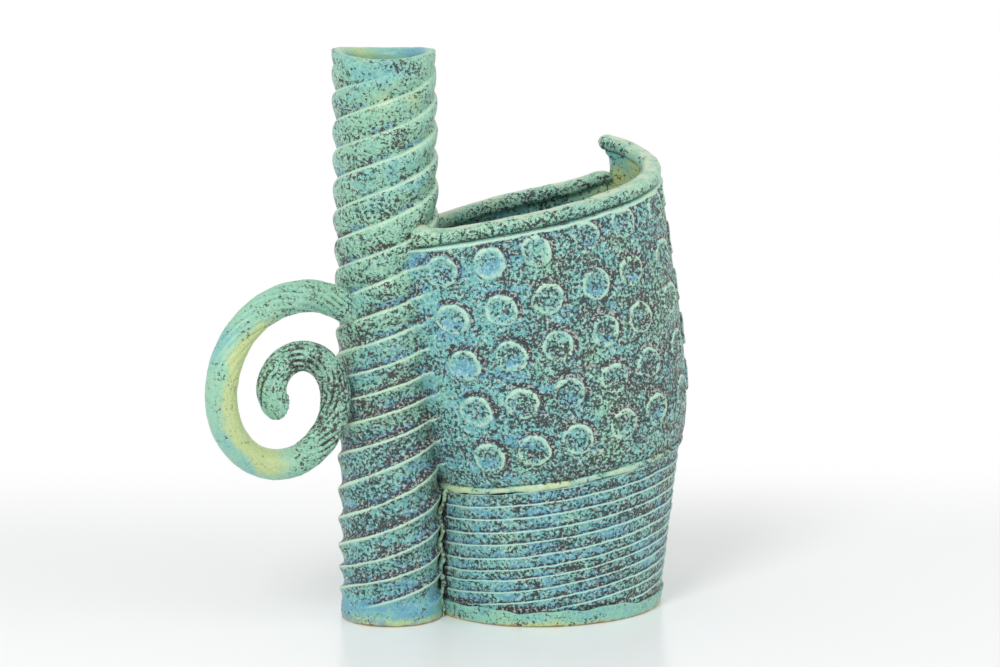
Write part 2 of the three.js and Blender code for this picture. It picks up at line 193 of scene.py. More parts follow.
# Column wall
# A tall tube of stoneware clay, rolled and twisted so that four ribs climb it as steep-backed spirals.
# Its foot is smooth, its mouth is left open, and dark specks gather in the grooves of the glaze.
column_low, column_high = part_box("column_wall")
COLUMN_HEIGHT = column_high.z
COLUMN_RADIUS = column_high.y
COLUMN_LEAN = column_high.x - column_low.x - 2 * COLUMN_RADIUS
COLUMN_WALL = 0.007
COLUMN_BORE = COLUMN_RADIUS - COLUMN_WALL
COLUMN_RIB_STARTS = 4
COLUMN_RIB_LEAD = 0.0646
COLUMN_RIB_DEPTH = 0.003
COLUMN_RIB_PROUD = 0.0005
COLUMN_RING_STEP = 0.001
COLUMN_BORE_RINGS = 112
COLUMN_FOOT_BAND = (0.006, 0.018)
COLUMN_FOOT_EDGE = 0.0015
COLUMN_LIP = 0.0012
COLUMN_PLAIN_LIP = 0.026
COLUMN_LIP_WAVE = 0.0012
COLUMN_LIP_WAVE_FROM = 0.03
COLUMN_LIP_LOW_TURN = math.radians(70)
# Across one rib, from its pale line at 0 down to the next at 1: the clay high and low on the column, the
# relief that its glaze shows, and where the mesh has its points
RIB_PROFILE = [
    (0.0, 0.6), (0.03, 0.7), (0.08, 0.83), (0.15, 0.95), (0.23, 1.0), (0.33, 0.97), (0.46, 0.83),
    (0.6, 0.58), (0.75, 0.3), (0.87, 0.09), (0.935, 0.0), (0.96, 0.08), (0.98, 0.34), (1.0, 0.6),
]
LOW_RIB_PROFILE = [
    (0.0, 1.0), (0.05, 0.96), (0.12, 0.84), (0.25, 0.54), (0.4, 0.27), (0.55, 0.1), (0.66, 0.02),
    (0.76, 0.08), (0.86, 0.34), (0.93, 0.76), (0.97, 0.96), (1.0, 1.0),
]
RIB_GLAZE = [
    (0.0, 1.0), (0.03, 0.97), (0.06, 0.84), (0.1, 0.66), (0.2, 0.57), (0.35, 0.52), (0.5, 0.46), (0.62, 0.38),
    (0.72, 0.26), (0.82, 0.13), (0.89, 0.04), (0.93, 0.02), (0.952, 0.08), (0.968, 0.55), (0.984, 0.96),
    (1.0, 1.0),
]
RIB_PHASES = np.array([
    0.0, 0.02, 0.04, 0.06, 0.08, 0.11, 0.15, 0.2, 0.26, 0.32, 0.38, 0.44, 0.5, 0.56, 0.62, 0.68, 0.74, 0.79,
    0.83, 0.87, 0.9, 0.92, 0.94, 0.955, 0.967, 0.979, 0.99,
])
LOW_RIBS = (0.13, 0.2)
HIGH_RIB_FADE = 0.22
PHASE_NUDGE = 0.0001
RIB_SWELL_SCALE = 1.7
RIB_SWELL_STRETCH = 30.0
# How far the hand let the ribs drift up or down, from the foot at 0 to the mouth at 1
RIB_DRIFT_REACH = 0.01
RIB_DRIFT = [
    (0.0, 0.9), (0.05, 0.86), (0.09, 0.58), (0.17, 0.2), (0.23, 0.32), (0.28, 0.58), (0.33, 0.68),
    (0.42, 0.42), (0.5, 0.14), (0.56, 0.12), (0.62, 0.3), (0.72, 0.48), (0.78, 0.65), (0.87, 0.72),
    (0.93, 0.8), (1.0, 0.66),
]
# Heights, and depths below the mouth, between which marks in the column's glaze, and the light painted inside
# the mouth, come or go
DIRT_COMES = (0.03, 0.06)
DIRT_GOES = (0.16, 0.11)
FOOT_CLEARS = (0.02, 0.01)
FOOT_YELLOWS = (0.011, 0.001)
POOLS_THIN = (0.17, 0.25)
MOUTH_PAINTED_LIGHT = (0.04, 0.02)
MOUTH_BLUE_TURN = math.radians(20)
# The unevenness of all the clay: waves to the metre, and how far each moves it
WANDER = {"broad": (16.0, 0.001), "fine": (75.0, 0.0005), "lumps": (230.0, 0.00018)}


def skin(name, points, closed, **marks):
    """A mesh over a lattice of points: each row is a closed outline, and the rows join up in order."""
    rows, columns = points.shape[:2]
    index = np.arange(rows * columns).reshape(rows, columns)
    lower = index if closed else index[:-1]
    upper = np.roll(index, -1, axis=0) if closed else index[1:]
    quads = np.stack([lower, np.roll(lower, -1, axis=1), np.roll(upper, -1, axis=1), upper], axis=-1)
    quads = quads.reshape(-1, 4)
    a, b, c, d = (points.reshape(-1, 3)[quads[:, corner]] for corner in range(4))
    volume = np.einsum("ij,ij->", a, np.cross(b, c) + np.cross(c, d))
    faces = quads.tolist()
    if not closed:
        faces += [index[0][::-1].tolist(), index[-1].tolist()]
    mesh = bpy.data.meshes.new(name)
    mesh.from_pydata(points.reshape(-1, 3).tolist(), [], faces)
    for mark, values in marks.items():
        layer = mesh.attributes.new(mark, "FLOAT", "POINT")
        layer.data.foreach_set("value", np.broadcast_to(values, (rows, columns)).astype(np.float32).ravel())
    if volume < 0:
        mesh.flip_normals()
    mesh.shade_smooth()
    return mesh


def smooth_step(values, low, high):
    """Shares from 0 at low to 1 at high, with soft ends."""
    share = np.clip((values - low) / (high - low), 0, 1)
    return share * share * (3 - 2 * share)


def shape_tree(name, sizes):
    """An empty shaping tree with a geometry and a material going in, and one named input for each size."""
    tree = bpy.data.node_groups.new(name, "GeometryNodeTree")
    tree.interface.new_socket("Geometry", in_out="INPUT", socket_type="NodeSocketGeometry")
    tree.interface.new_socket("Material", in_out="INPUT", socket_type="NodeSocketMaterial")
    for size in sizes:
        tree.interface.new_socket(size, in_out="INPUT", socket_type="NodeSocketFloat")
    tree.interface.new_socket("Geometry", in_out="OUTPUT", socket_type="NodeSocketGeometry")
    bench = NodeBench(tree)
    return bench, bench.node("NodeGroupInput").outputs


def profile(bench, value, points):
    """A curve through given points, from 0 to 1, that a tool's edge leaves in the clay."""
    made = bench.node("ShaderNodeFloatCurve", {"Factor": 1.0, "Value": value})
    curve = made.mapping.curves[0]
    while len(curve.points) < len(points):
        curve.points.new(0.5, 0.5)
    for point, place in zip(curve.points, points):
        point.location = place
        point.handle_type = "AUTO_CLAMPED"
    made.mapping.update()
    return made.outputs[0]


def attribute(bench, name):
    """A value that a blank carries at each of its points."""
    return bench.node("GeometryNodeInputNamedAttribute", {"Name": name}, data_type="FLOAT").outputs[0]


def moved(bench, geometry, direction, distance):
    """Moves every point of a geometry along its own direction."""
    values = {0: direction, "Scale": distance}
    offset = bench.node("ShaderNodeVectorMath", values, operation="SCALE").outputs[0]
    return bench.node("GeometryNodeSetPosition", {"Geometry": geometry, "Offset": offset}).outputs[0]


def wander(bench, geometry):
    """The unevenness that hands leave: neighbours move together, so that their joints stay closed."""
    place = bench.node("GeometryNodeInputPosition").outputs[0]
    middle = (0.5, 0.5, 0.5)
    for scale, reach in WANDER.values():
        drift = bench.noise(place, scale, 1.0).outputs[1]
        drift = bench.node("ShaderNodeVectorMath", {0: drift, 1: middle}, operation="SUBTRACT").outputs[0]
        geometry = moved(bench, geometry, drift, 2 * reach)
    return geometry


def marked(bench, geometry, name, value):
    """Keeps a value at every point, under a name that the glaze reads."""
    values = {"Geometry": geometry, "Name": name, "Value": value}
    settings = {"data_type": "FLOAT", "domain": "POINT"}
    return bench.node("GeometryNodeStoreNamedAttribute", values, **settings).outputs[0]


def finish_tree(bench, geometry, relief, material):
    """Keeps the relief for the glaze to read, bends the piece by hand and gives it its material."""
    geometry = marked(bench, geometry, "relief", relief)
    geometry = wander(bench, geometry)
    geometry = bench.node("GeometryNodeRealizeInstances", {"Geometry": geometry}).outputs[0]
    values = {"Geometry": geometry, "Material": material}
    geometry = bench.node("GeometryNodeSetMaterial", values).outputs[0]
    bench.node("NodeGroupOutput", {"Geometry": geometry})
    return bench.tree


def shaped(name, blank, tree, material, **sizes):
    """Runs a shaping tree on a blank mesh and keeps the result as a plain mesh object."""
    piece = bpy.data.objects.new(name, blank)
    bpy.context.scene.collection.objects.link(piece)
    modifier = piece.modifiers.new("shaping", "NODES")
    modifier.node_group = tree
    for socket in tree.interface.items_tree:
        if socket.in_out == "INPUT" and socket.name == "Material":
            modifier[socket.identifier] = material
        elif socket.in_out == "INPUT" and socket.name in sizes:
            modifier[socket.identifier] = sizes[socket.name]
    view = bpy.context.evaluated_depsgraph_get()
    result = piece.evaluated_get(view)
    done = bpy.data.meshes.new_from_object(result, preserve_all_data_layers=True, depsgraph=view)
    piece.modifiers.clear()
    piece.data = done
    bpy.data.meshes.remove(blank)
    done.name = name
    return piece


def column_place(radius, turn, height):
    """Points on the leaning column, with turn and height as lattices."""
    lean = COLUMN_LEAN * height / COLUMN_HEIGHT
    return np.stack([AXIS_X + radius * np.cos(turn) - lean, radius * np.sin(turn), height], axis=-1)


# The colours of the glaze, then how many clouds or grains of each kind there are to the metre
MINT = srgb(150, 204, 174)
TURQUOISE = srgb(120, 190, 188)
MOSS_YELLOW = srgb(196, 210, 140)
POOL_BLUE = srgb(98, 164, 194)
DEEP_BLUE = srgb(66, 126, 170)
THIN_GLAZE = srgb(196, 226, 208)
THICK_GLAZE = srgb(84, 146, 138)
SHADED_GREEN = srgb(70, 126, 118)
SPECK_TEAL = srgb(20, 40, 42)
SPECK_BROWN = srgb(52, 41, 43)
ASH_FLECK = srgb(196, 210, 200)
BARE_CLAY = srgb(158, 132, 88)
GRAIN_SCALE = 560
CLUMP_SCALE = 120
PATCH_SCALE = 40
POOL_SCALE = 46
MOTTLE_SCALE = 36
WARM_SCALE = 44
TOOTH_SCALE = 1300
WIPED_SCALE = 150
GLAZE_FLOW = (1.0, 1.0, 2.2)
GLAZE_BUMP = 0.0004
GLAZE_SHEEN = 0.2
WIPED_FOOT = (0.0014, 0.0004)
WIPED_UNEVEN = 0.004


def speckled_glaze():
    """A mint and turquoise glaze. Dark specks and blue pools gather in hollows, and crests stay pale."""
    group = bpy.data.node_groups.new("speckled_glaze", "ShaderNodeTree")
    group.interface.new_socket("Place", in_out="INPUT", socket_type="NodeSocketVector")
    for name in ("Relief", "Specks", "Blue", "Warmth", "Tint"):
        group.interface.new_socket(name, in_out="INPUT", socket_type="NodeSocketFloat")
    group.interface.new_socket("Crest Colour", in_out="INPUT", socket_type="NodeSocketColor")
    group.interface.new_socket("Colour", in_out="OUTPUT", socket_type="NodeSocketColor")
    group.interface.new_socket("Roughness", in_out="OUTPUT", socket_type="NodeSocketFloat")
    group.interface.new_socket("Height", in_out="OUTPUT", socket_type="NodeSocketFloat")
    bench = NodeBench(group)
    given = bench.node("NodeGroupInput").outputs
    place = given["Place"]
    crest = bench.ramp(given["Relief"], 0.1, 0.9)
    hollow = bench.ramp(given["Relief"], 0.0, -1.0)
    flat = bench.node("ShaderNodeMapping", {"Vector": place, "Scale": GLAZE_FLOW}).outputs[0]

    # Blue pools, more of them in hollows
    pool = bench.calc("ADD", bench.clouds(flat, POOL_SCALE, 3.0, 0.6, 1.0), given["Blue"])
    pool = bench.scaled(hollow, 0.27, bench.scaled(crest, -0.25, pool))
    pool = bench.ramp(pool, 0.04, 0.24)

    # Dark specks and pale flecks from one grain, in clumps and patches, fewer on crests and in pools
    grain = bench.noise(place, GRAIN_SCALE, 2.0, 0.7).outputs[1]
    first, second, third = bench.node("ShaderNodeSeparateXYZ", {0: grain}).outputs
    first = bench.ramp(first, 0.32, 0.68)
    second = bench.ramp(second, 0.32, 0.68)
    clump = bench.clouds(flat, CLUMP_SCALE, 3.0, 0.6, 1.35)
    share = bench.calc("ADD", bench.clouds(flat, PATCH_SCALE, 2.0, 0.5, 1.1), given["Specks"])
    share = bench.calc("ADD", clump, share)
    share = bench.scaled(crest, -0.75, bench.scaled(pool, -0.22, share))
    share = bench.calc("ADD", share, bench.product(hollow, bench.scaled(given["Specks"], 0.9, 0.2)))
    share = bench.calc("ADD", share, bench.ramp(hollow, 0.65, 0.95, 0.0, 0.4))
    speck = bench.ramp(bench.calc("ADD", first, share), 0.72, 1.16)
    fleck = bench.ramp(bench.calc("ADD", second, bench.scaled(share, 0.3)), 0.92, 1.2)

    # The ground, from mint to turquoise, with yellow clouds, pools, thin and thick glaze and pale crests
    mottle = bench.calc("ADD", bench.clouds(place, MOTTLE_SCALE, 3.0, 0.55, 1.0), given["Tint"])
    ground = bench.blend(bench.ramp(mottle, -0.16, 0.16), MINT, TURQUOISE)
    warm = bench.calc("ADD", bench.clouds(place, WARM_SCALE, 3.0, 0.5, 1.0), given["Warmth"])
    ground = bench.blend(bench.ramp(warm, 0.05, 0.4), ground, MOSS_YELLOW)
    deep = bench.blend(bench.ramp(hollow, 0.0, 1.0), POOL_BLUE, DEEP_BLUE)
    ground = bench.blend(bench.product(pool, 0.85), ground, deep)
    uneven = bench.ramp(given["Specks"], -0.1, 0.35, 0.1, 0.5)
    thin = bench.product(bench.ramp(second, 0.5, 1.0), uneven)
    ground = bench.blend(thin, ground, THIN_GLAZE)
    thick = bench.product(bench.ramp(second, 0.45, 0.0), uneven)
    ground = bench.blend(thick, ground, THICK_GLAZE)
    ground = bench.blend(bench.product(crest, 0.85), ground, given["Crest Colour"])
    tooth = bench.clouds(place, TOOTH_SCALE, 2.0, 0.6, 1.0)
    ground = bench.blend(bench.ramp(tooth, -0.02, -0.25, 0.0, 0.5), ground, SHADED_GREEN)

    # Specks and flecks over the ground, and the satin surface
    brown = bench.ramp(bench.calc("ADD", bench.scaled(hollow, 0.3, clump), third), 0.4, 0.75)
    dark = bench.blend(brown, SPECK_TEAL, SPECK_BROWN)
    colour = bench.blend(bench.product(speck, 0.94), ground, dark)
    colour = bench.blend(bench.product(fleck, 0.7), colour, ASH_FLECK)
    roughness = bench.ramp(bench.calc("ADD", speck, tooth), 0.0, 1.2, 0.4, 0.62)
    height = bench.scaled(speck, -0.5, bench.scaled(tooth, 0.6, 0.5))
    bench.node("NodeGroupOutput", {"Colour": colour, "Roughness": roughness, "Height": height})
    return group


glaze_group = speckled_glaze()


def glazed(name, crest_colour, wiped=False, **shares):
    """A satin stoneware glaze with its own share of specks, blue pools, yellow-green warmth and turquoise
    tint. A share is a number, or an axis with two places on it and the share at each. A wiped foot shows
    the clay."""
    material = bpy.data.materials.new(name)
    material.use_nodes = True
    material.node_tree.nodes.clear()
    bench = NodeBench(material.node_tree)
    place = bench.node("ShaderNodeTexCoord").outputs["Object"]
    axes = bench.node("ShaderNodeSeparateXYZ", {0: place}).outputs
    relief = bench.node("ShaderNodeAttribute", attribute_name="relief").outputs["Fac"]
    values = {"Place": place, "Relief": relief, "Crest Colour": crest_colour}
    for share, value in shares.items():
        if isinstance(value, tuple):
            axis, low, high, start, end = value
            value = bench.ramp(axes[axis], low, high, start, end)
        values[share.title()] = value
    for share, mark in (("Specks", "specked"), ("Blue", "pooled"), ("Warmth", "warmed")):
        extra = bench.node("ShaderNodeAttribute", attribute_name=mark).outputs["Fac"]
        values[share] = bench.calc("ADD", extra, values[share])
    glaze = bench.tree.nodes.new("ShaderNodeGroup")
    glaze.node_tree = glaze_group
    bench.fill(glaze, values)
    colour = glaze.outputs["Colour"]
    if wiped:
        edge = bench.calc("ADD", axes["Z"], bench.clouds(place, WIPED_SCALE, 2.0, 0.5, WIPED_UNEVEN))
        colour = bench.blend(bench.ramp(edge, *WIPED_FOOT), colour, BARE_CLAY)
    values = {"Strength": 0.5, "Distance": GLAZE_BUMP, "Height": glaze.outputs["Height"]}
    bump = bench.node("ShaderNodeBump", values)
    values = {"Base Color": colour, "Roughness": glaze.outputs["Roughness"], "Normal": bump.outputs[0]}
    values["Sheen Weight"] = GLAZE_SHEEN
    values["Sheen Roughness"] = 0.4
    surface = bench.node("ShaderNodeBsdfPrincipled", values)
    bench.node("ShaderNodeOutputMaterial", {"Surface": surface.outputs[0]})
    return material


def twisted_ribs():
    """Cuts upright flutes into a tube and twists it, so that each flute climbs as a spiral."""
    sizes = ("Axis", "Height", "Lean", "Starts", "Lead", "Drift", "Depth", "Proud", "Band Low")
    sizes += ("Band High", "Plain Lip", "Lip Wave", "Lip Wave From", "Lip Low Turn", "Low Ribs", "High Ribs")
    bench, given = shape_tree("twisted_ribs", sizes)
    place = bench.node("GeometryNodeInputPosition").outputs[0]
    x, y, z = bench.node("ShaderNodeSeparateXYZ", {0: place}).outputs
    radius = bench.length(x, y)
    turn = attribute(bench, "turn")
    phase = bench.calc("FRACT", bench.scaled(turn, given["Starts"], PHASE_NUDGE))
    level = bench.calc("DIVIDE", z, given["Height"])
    drift = bench.scaled(profile(bench, level, RIB_DRIFT), 1.0, -0.5)
    climb = bench.calc("SUBTRACT", z, bench.product(drift, given["Drift"]))
    angle = bench.calc("ADD", turn, bench.calc("DIVIDE", climb, given["Lead"]))
    angle = bench.product(angle, math.tau)
    run = bench.calc("COSINE", angle)
    rise = bench.calc("SINE", angle)

    # Where the ribs are: on the outside, from above the smooth foot to below the plain lip
    plain = bench.calc("SUBTRACT", given["Height"], given["Plain Lip"])
    band = bench.ramp(z, given["Band Low"], given["Band High"])
    band = bench.product(band, bench.ramp(z, given["Height"], plain, 0.1, 1.0), attribute(bench, "outside"))

    # How deep they are, swelling along each rib and changing their section with height
    spot = {0: run, 1: rise, 2: bench.product(z, RIB_SWELL_STRETCH)}
    spot = bench.node("ShaderNodeCombineXYZ", spot).outputs[0]
    strength = bench.scaled(bench.noise(spot, RIB_SWELL_SCALE, 2.0).outputs[0], 0.9, 0.55)
    low = profile(bench, phase, LOW_RIB_PROFILE)
    high = bench.calc("SUBTRACT", profile(bench, phase, RIB_PROFILE), low)
    change = bench.ramp(z, given["Low Ribs"], given["High Ribs"])
    cut = bench.scaled(bench.scaled(high, change, low), 1.0, -1.0)
    cut = bench.calc("ADD", bench.product(cut, strength, given["Depth"]), given["Proud"])
    radius = bench.scaled(cut, band, radius)

    # The lean of the column and the wave of its lip
    x = bench.calc("SUBTRACT", bench.product(radius, run), bench.product(given["Lean"], level))
    x = bench.calc("ADD", x, given["Axis"])
    y = bench.product(radius, rise)
    wave = bench.calc("COSINE", bench.product(bench.calc("SUBTRACT", angle, given["Lip Low Turn"]), 2.0))
    start = bench.calc("SUBTRACT", given["Height"], given["Lip Wave From"])
    near = bench.ramp(z, start, given["Height"])
    wave = bench.product(bench.calc("ADD", wave, 1.0), given["Lip Wave"], near)
    z = bench.calc("SUBTRACT", z, wave)
    twisted = bench.node("ShaderNodeCombineXYZ", {0: x, 1: y, 2: z}).outputs[0]
    values = {"Geometry": given["Geometry"], "Position": twisted}
    geometry = bench.node("GeometryNodeSetPosition", values).outputs[0]
    relief = bench.scaled(profile(bench, phase, RIB_GLAZE), 2.0, -1.0)
    fading = bench.scaled(change, -HIGH_RIB_FADE, 1.0)
    relief = bench.product(relief, bench.ramp(strength, 0.75, 1.2, 0.6, 1.0), fading, band)
    return finish_tree(bench, geometry, relief, given["Material"])


def column_section():
    """Radii and heights round the tube's wall: up the outside, over the lip and down the bore."""
    edge = np.linspace(0, math.pi / 2, 4)
    radius = list(COLUMN_RADIUS - COLUMN_FOOT_EDGE * (1 - np.sin(edge)))
    height = list(COLUMN_FOOT_EDGE * (1 - np.cos(edge)))
    rise = np.arange(COLUMN_FOOT_EDGE + COLUMN_RING_STEP, COLUMN_HEIGHT - COLUMN_LIP, COLUMN_RING_STEP)
    radius += [COLUMN_RADIUS] * len(rise)
    height += list(rise)
    radius += list(COLUMN_RADIUS - COLUMN_LIP * (1 - np.cos(edge)))
    height += list(COLUMN_HEIGHT - COLUMN_LIP * (1 - np.sin(edge)))
    slope = np.linspace(0, math.pi / 2, 12)
    radius += list(COLUMN_BORE + (COLUMN_WALL - 2 * COLUMN_LIP) * (1 - np.sin(slope)))
    height += list(COLUMN_HEIGHT - 4 * COLUMN_LIP * (1 - np.cos(slope)))
    fall = np.linspace(height[-1], 0, COLUMN_BORE_RINGS)[1:]
    radius += [COLUMN_BORE] * len(fall)
    height += list(fall)
    radius += list(np.linspace(COLUMN_BORE, COLUMN_RADIUS - COLUMN_FOOT_EDGE, 4)[1:-1])
    height += [0.0, 0.0]
    return np.array(radius)[:, None], np.array(height)[:, None]


def column_blank():
    """The plain upright tube, with marks for the ribs and the glaze."""
    radius, height = column_section()
    turn = (np.arange(COLUMN_RIB_STARTS)[:, None] + RIB_PHASES).ravel()[None, :] / COLUMN_RIB_STARTS
    points = [radius * np.cos(math.tau * turn), radius * np.sin(math.tau * turn), height + 0 * turn]
    outside = smooth_step(radius, COLUMN_BORE, COLUMN_RADIUS - 2 * COLUMN_FOOT_EDGE)
    inside = smooth_step(COLUMN_RADIUS - radius, 0, COLUMN_WALL / 2)
    lip_turn = math.tau * (turn + COLUMN_HEIGHT / COLUMN_RIB_LEAD)
    blue_side = smooth_step(np.cos(lip_turn - MOUTH_BLUE_TURN), -0.2, 1.0)
    pooled = inside * (0.5 * blue_side - 0.15) - 0.1 * outside * smooth_step(height, *POOLS_THIN)
    foot = smooth_step(height, *FOOT_CLEARS) * outside
    # Inside the mouth the glaze is painted paler and warmer, with fewer dark specks: painted light on the lit
    # far wall of the bore
    mouth = smooth_step(COLUMN_HEIGHT - height, *MOUTH_PAINTED_LIGHT) * inside
    warmed = 0.5 * smooth_step(height, *FOOT_YELLOWS) + 0.12 * mouth * (1 - blue_side)
    dirt = 0.1 * smooth_step(height, *DIRT_COMES) * smooth_step(height, *DIRT_GOES) * outside
    marks = {"specked": dirt - 0.28 * foot - 0.5 * mouth, "pooled": pooled + 0.07 * foot, "warmed": warmed}
    return skin("column_blank", np.stack(points, axis=-1), True, outside=outside, turn=turn, **marks)


CREAM_GREEN = srgb(200, 222, 192)
rib_glaze = glazed(
    "rib_glaze", srgb(210, 232, 202), wiped=True,
    specks=("Z", 0.17, 0.33, 0.3, 0.11), blue=("Z", 0.02, 0.16, 0.06, -0.02),
    warmth=("Z", 0.2, 0.33, -0.15, 0.0), tint=("Z", 0.02, 0.2, 0.1, -0.1),
)
column_wall = shaped(
    "twisted_column", column_blank(), twisted_ribs(), rib_glaze,
    **{"Axis": AXIS_X, "Height": COLUMN_HEIGHT, "Lean": COLUMN_LEAN, "Starts": COLUMN_RIB_STARTS,
       "Lead": COLUMN_RIB_LEAD, "Drift": RIB_DRIFT_REACH, "Depth": COLUMN_RIB_DEPTH,
       "Proud": COLUMN_RIB_PROUD, "Band Low": COLUMN_FOOT_BAND[0], "Band High": COLUMN_FOOT_BAND[1],
       "Plain Lip": COLUMN_PLAIN_LIP, "Lip Wave": COLUMN_LIP_WAVE,
       "Lip Wave From": COLUMN_LIP_WAVE_FROM, "Lip Low Turn": COLUMN_LIP_LOW_TURN,
       "Low Ribs": LOW_RIBS[0], "High Ribs": LOW_RIBS[1]},
)
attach(column_wall, "root")
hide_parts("column_wall")

# Column floor
# A round disc of the same clay that closes the foot of the column. It is luted inside the wall and
# stands on the table with it, with its upper edge smoothed into the bore.
DISC_RADIUS = disc_high.y
DISC_HEIGHT = disc_high.z
DISC_EDGE = 0.0012
DISC_SIDES = 96
WEAR_SCALE = 110


def plain_tree():
    """Only the maker's unevenness, for pieces with no pattern of their own."""
    bench, given = shape_tree("plain_clay", ())
    place = bench.node("GeometryNodeInputPosition").outputs[0]
    worn = bench.noise(place, WEAR_SCALE, 2.0).outputs[0]
    relief = bench.product(attribute(bench, "crest"), bench.ramp(worn, 0.3, 0.65, 0.3, 1.3))
    return finish_tree(bench, given["Geometry"], relief, given["Material"])


def disc_blank():
    """A disc with rounded edges that leans with the column."""
    edge = np.linspace(0, math.pi / 2, 5)
    low = [(share * (DISC_RADIUS - DISC_EDGE), 0.0) for share in (0.02, 0.35, 0.7)]
    low += list(zip(DISC_RADIUS - DISC_EDGE * (1 - np.sin(edge)), DISC_EDGE * (1 - np.cos(edge))))
    high = [(radius, DISC_HEIGHT - height) for radius, height in reversed(low)]
    radius, height = np.array(low + high).T[:, :, None]
    turn = math.tau * np.arange(DISC_SIDES)[None, :] / DISC_SIDES
    return skin("disc_blank", column_place(radius, turn, height + 0 * turn), False, crest=0.0)


plain_clay = plain_tree()
inside_glaze = glazed("inside_glaze", CREAM_GREEN, specks=0.3, blue=0.0, warmth=0.0, tint=0.0)
column_floor = shaped("column_disc", disc_blank(), plain_clay, inside_glaze)
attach(column_floor, "root")
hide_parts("column_floor")

# Body floor
# An oval slab under the whole body, pressed against the column. Its edge shows as a smooth band of paler
# glaze below the combed wall, wiped back to the clay where it stands on the table.
BODY_OVERLAP = 0.0024
BODY_NEAR = COLUMN_RADIUS - BODY_OVERLAP
BODY_FLOOR = 0.008
FOOT_EDGE = 0.0016
FOOT_SMEAR = 0.0014
FOOT_PROUD = 0.0007
FOOT_LIP_DROP = 0.0009
FOOT_LIP_REACH = 0.0022
FOOT_SECTIONS = 420
FOOT_WAVES = [(0.45, 5, 1.0), (0.35, 11, 0.0), (0.25, 23, 0.0)]
FLOOR_UNDER_INSETS = (0.055, 0.04, 0.02)
FLOOR_TOP_INSETS = (0.004, 0.012, 0.03, 0.05, 0.058)
FOOT_HALF_LENGTH = 0.0688
FOOT_HALF_WIDTH = 0.062
WAIST_HALF_LENGTH = 0.0753
WAIST_HALF_WIDTH = 0.064
WAIST_NEAR_HEIGHT = 0.0795
WAIST_FAR_HEIGHT = 0.101
# An oval has its middle, measured from the column's axis, half its length and half its width
FOOT = np.array([BODY_NEAR + FOOT_HALF_LENGTH, FOOT_HALF_LENGTH, FOOT_HALF_WIDTH])
WAIST = np.array([BODY_NEAR + WAIST_HALF_LENGTH, WAIST_HALF_LENGTH, WAIST_HALF_WIDTH])


def waist_height(angle):
    """The tilted waist: lowest beside the column, highest at the far end."""
    return WAIST_NEAR_HEIGHT + (WAIST_FAR_HEIGHT - WAIST_NEAR_HEIGHT) * (1 + np.cos(angle)) / 2


def oval_place(low, high, share, angle, inset, height):
    """Points of a wall between two ovals. Angle 0 is the far end and a quarter turn is the front."""
    centre, along, across = (a + (b - a) * share for a, b in zip(low, high))
    run, rise = np.cos(angle), -np.sin(angle)
    size = np.hypot(run / along, rise / across)
    x = AXIS_X + centre + along * run - inset * run / along / size
    y = across * rise - inset * rise / across / size
    return np.stack(np.broadcast_arrays(x, y, height), axis=-1)


def lower_place(angle, height, inset):
    """Points of the lower wall at real heights."""
    return oval_place(FOOT, WAIST, height / waist_height(angle), angle, inset, height)


def column_distance(points):
    """How far points lie from the axis of the leaning column."""
    lean = COLUMN_LEAN * points[..., 2] / COLUMN_HEIGHT
    return np.hypot(points[..., 0] - AXIS_X + lean, points[..., 1])


def seated(points):
    """Pushes points out of the column, so that a piece lies against it."""
    distance = column_distance(points)
    push = np.maximum(COLUMN_RADIUS - COLUMN_RIB_DEPTH, distance) / np.maximum(distance, 1e-6)
    axis = np.zeros_like(points)
    axis[..., 0] = AXIS_X - COLUMN_LEAN * points[..., 2] / COLUMN_HEIGHT
    axis[..., 2] = points[..., 2]
    return axis + (points - axis) * push[..., None]


def hand_waves(along, waves):
    """The unevenness of an edge made by hand: waves that each have a strength, a rate and a start."""
    return sum(strength * np.sin(rate * along + start) for strength, rate, start in waves)


def body_floor_blank():
    """An oval slab whose clay was smeared up over the wall's foot to an uneven edge."""
    angle = math.tau * np.arange(FOOT_SECTIONS)[None, :] / FOOT_SECTIONS
    edge = np.linspace(0, math.pi / 2, 5)
    low = [(inset, 0.0) for inset in FLOOR_UNDER_INSETS]
    low += list(zip(FOOT_EDGE * (1 - np.sin(edge)), FOOT_EDGE * (1 - np.cos(edge))))
    inset, height = np.array(low).T[:, :, None]
    lift = FOOT_SMEAR * (1 + hand_waves(angle, FOOT_WAVES))
    rise = np.linspace(0.15, 1, 9)[:, None]
    top = FOOT_EDGE + (BODY_FLOOR + lift - FOOT_EDGE) * rise
    lip = np.linspace(0, math.pi / 2, 5)[1:, None]
    lip_height = BODY_FLOOR + lift - FOOT_LIP_DROP * (1 - np.cos(lip))
    lip_inset = -FOOT_PROUD + FOOT_LIP_REACH * np.sin(lip) + 0 * angle
    inner = np.array(FLOOR_TOP_INSETS)[:, None] + 0 * angle
    heights = np.concatenate([height + 0 * angle, top, lip_height, BODY_FLOOR + 0 * inner])
    insets = np.concatenate([inset + 0 * angle, -FOOT_PROUD * rise + 0 * angle, lip_inset, inner])
    crest = [0 * height + 0 * angle, 0.3 * rise ** 3 + 0 * angle, 0.2 - 0 * lip_height, 0 * inner]
    points = lower_place(angle, heights, insets)
    return skin("body_floor_blank", seated(points), False, crest=np.concatenate(crest))


foot_glaze = glazed(
    "foot_glaze", CREAM_GREEN, wiped=True,
    specks=0.03, blue=-0.05, warmth=("Z", 0.0, 0.006, 0.25, -0.05), tint=-0.05,
)
body_floor = shaped("body_foot", body_floor_blank(), plain_clay, foot_glaze)
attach(body_floor, "root")
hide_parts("body_floor")

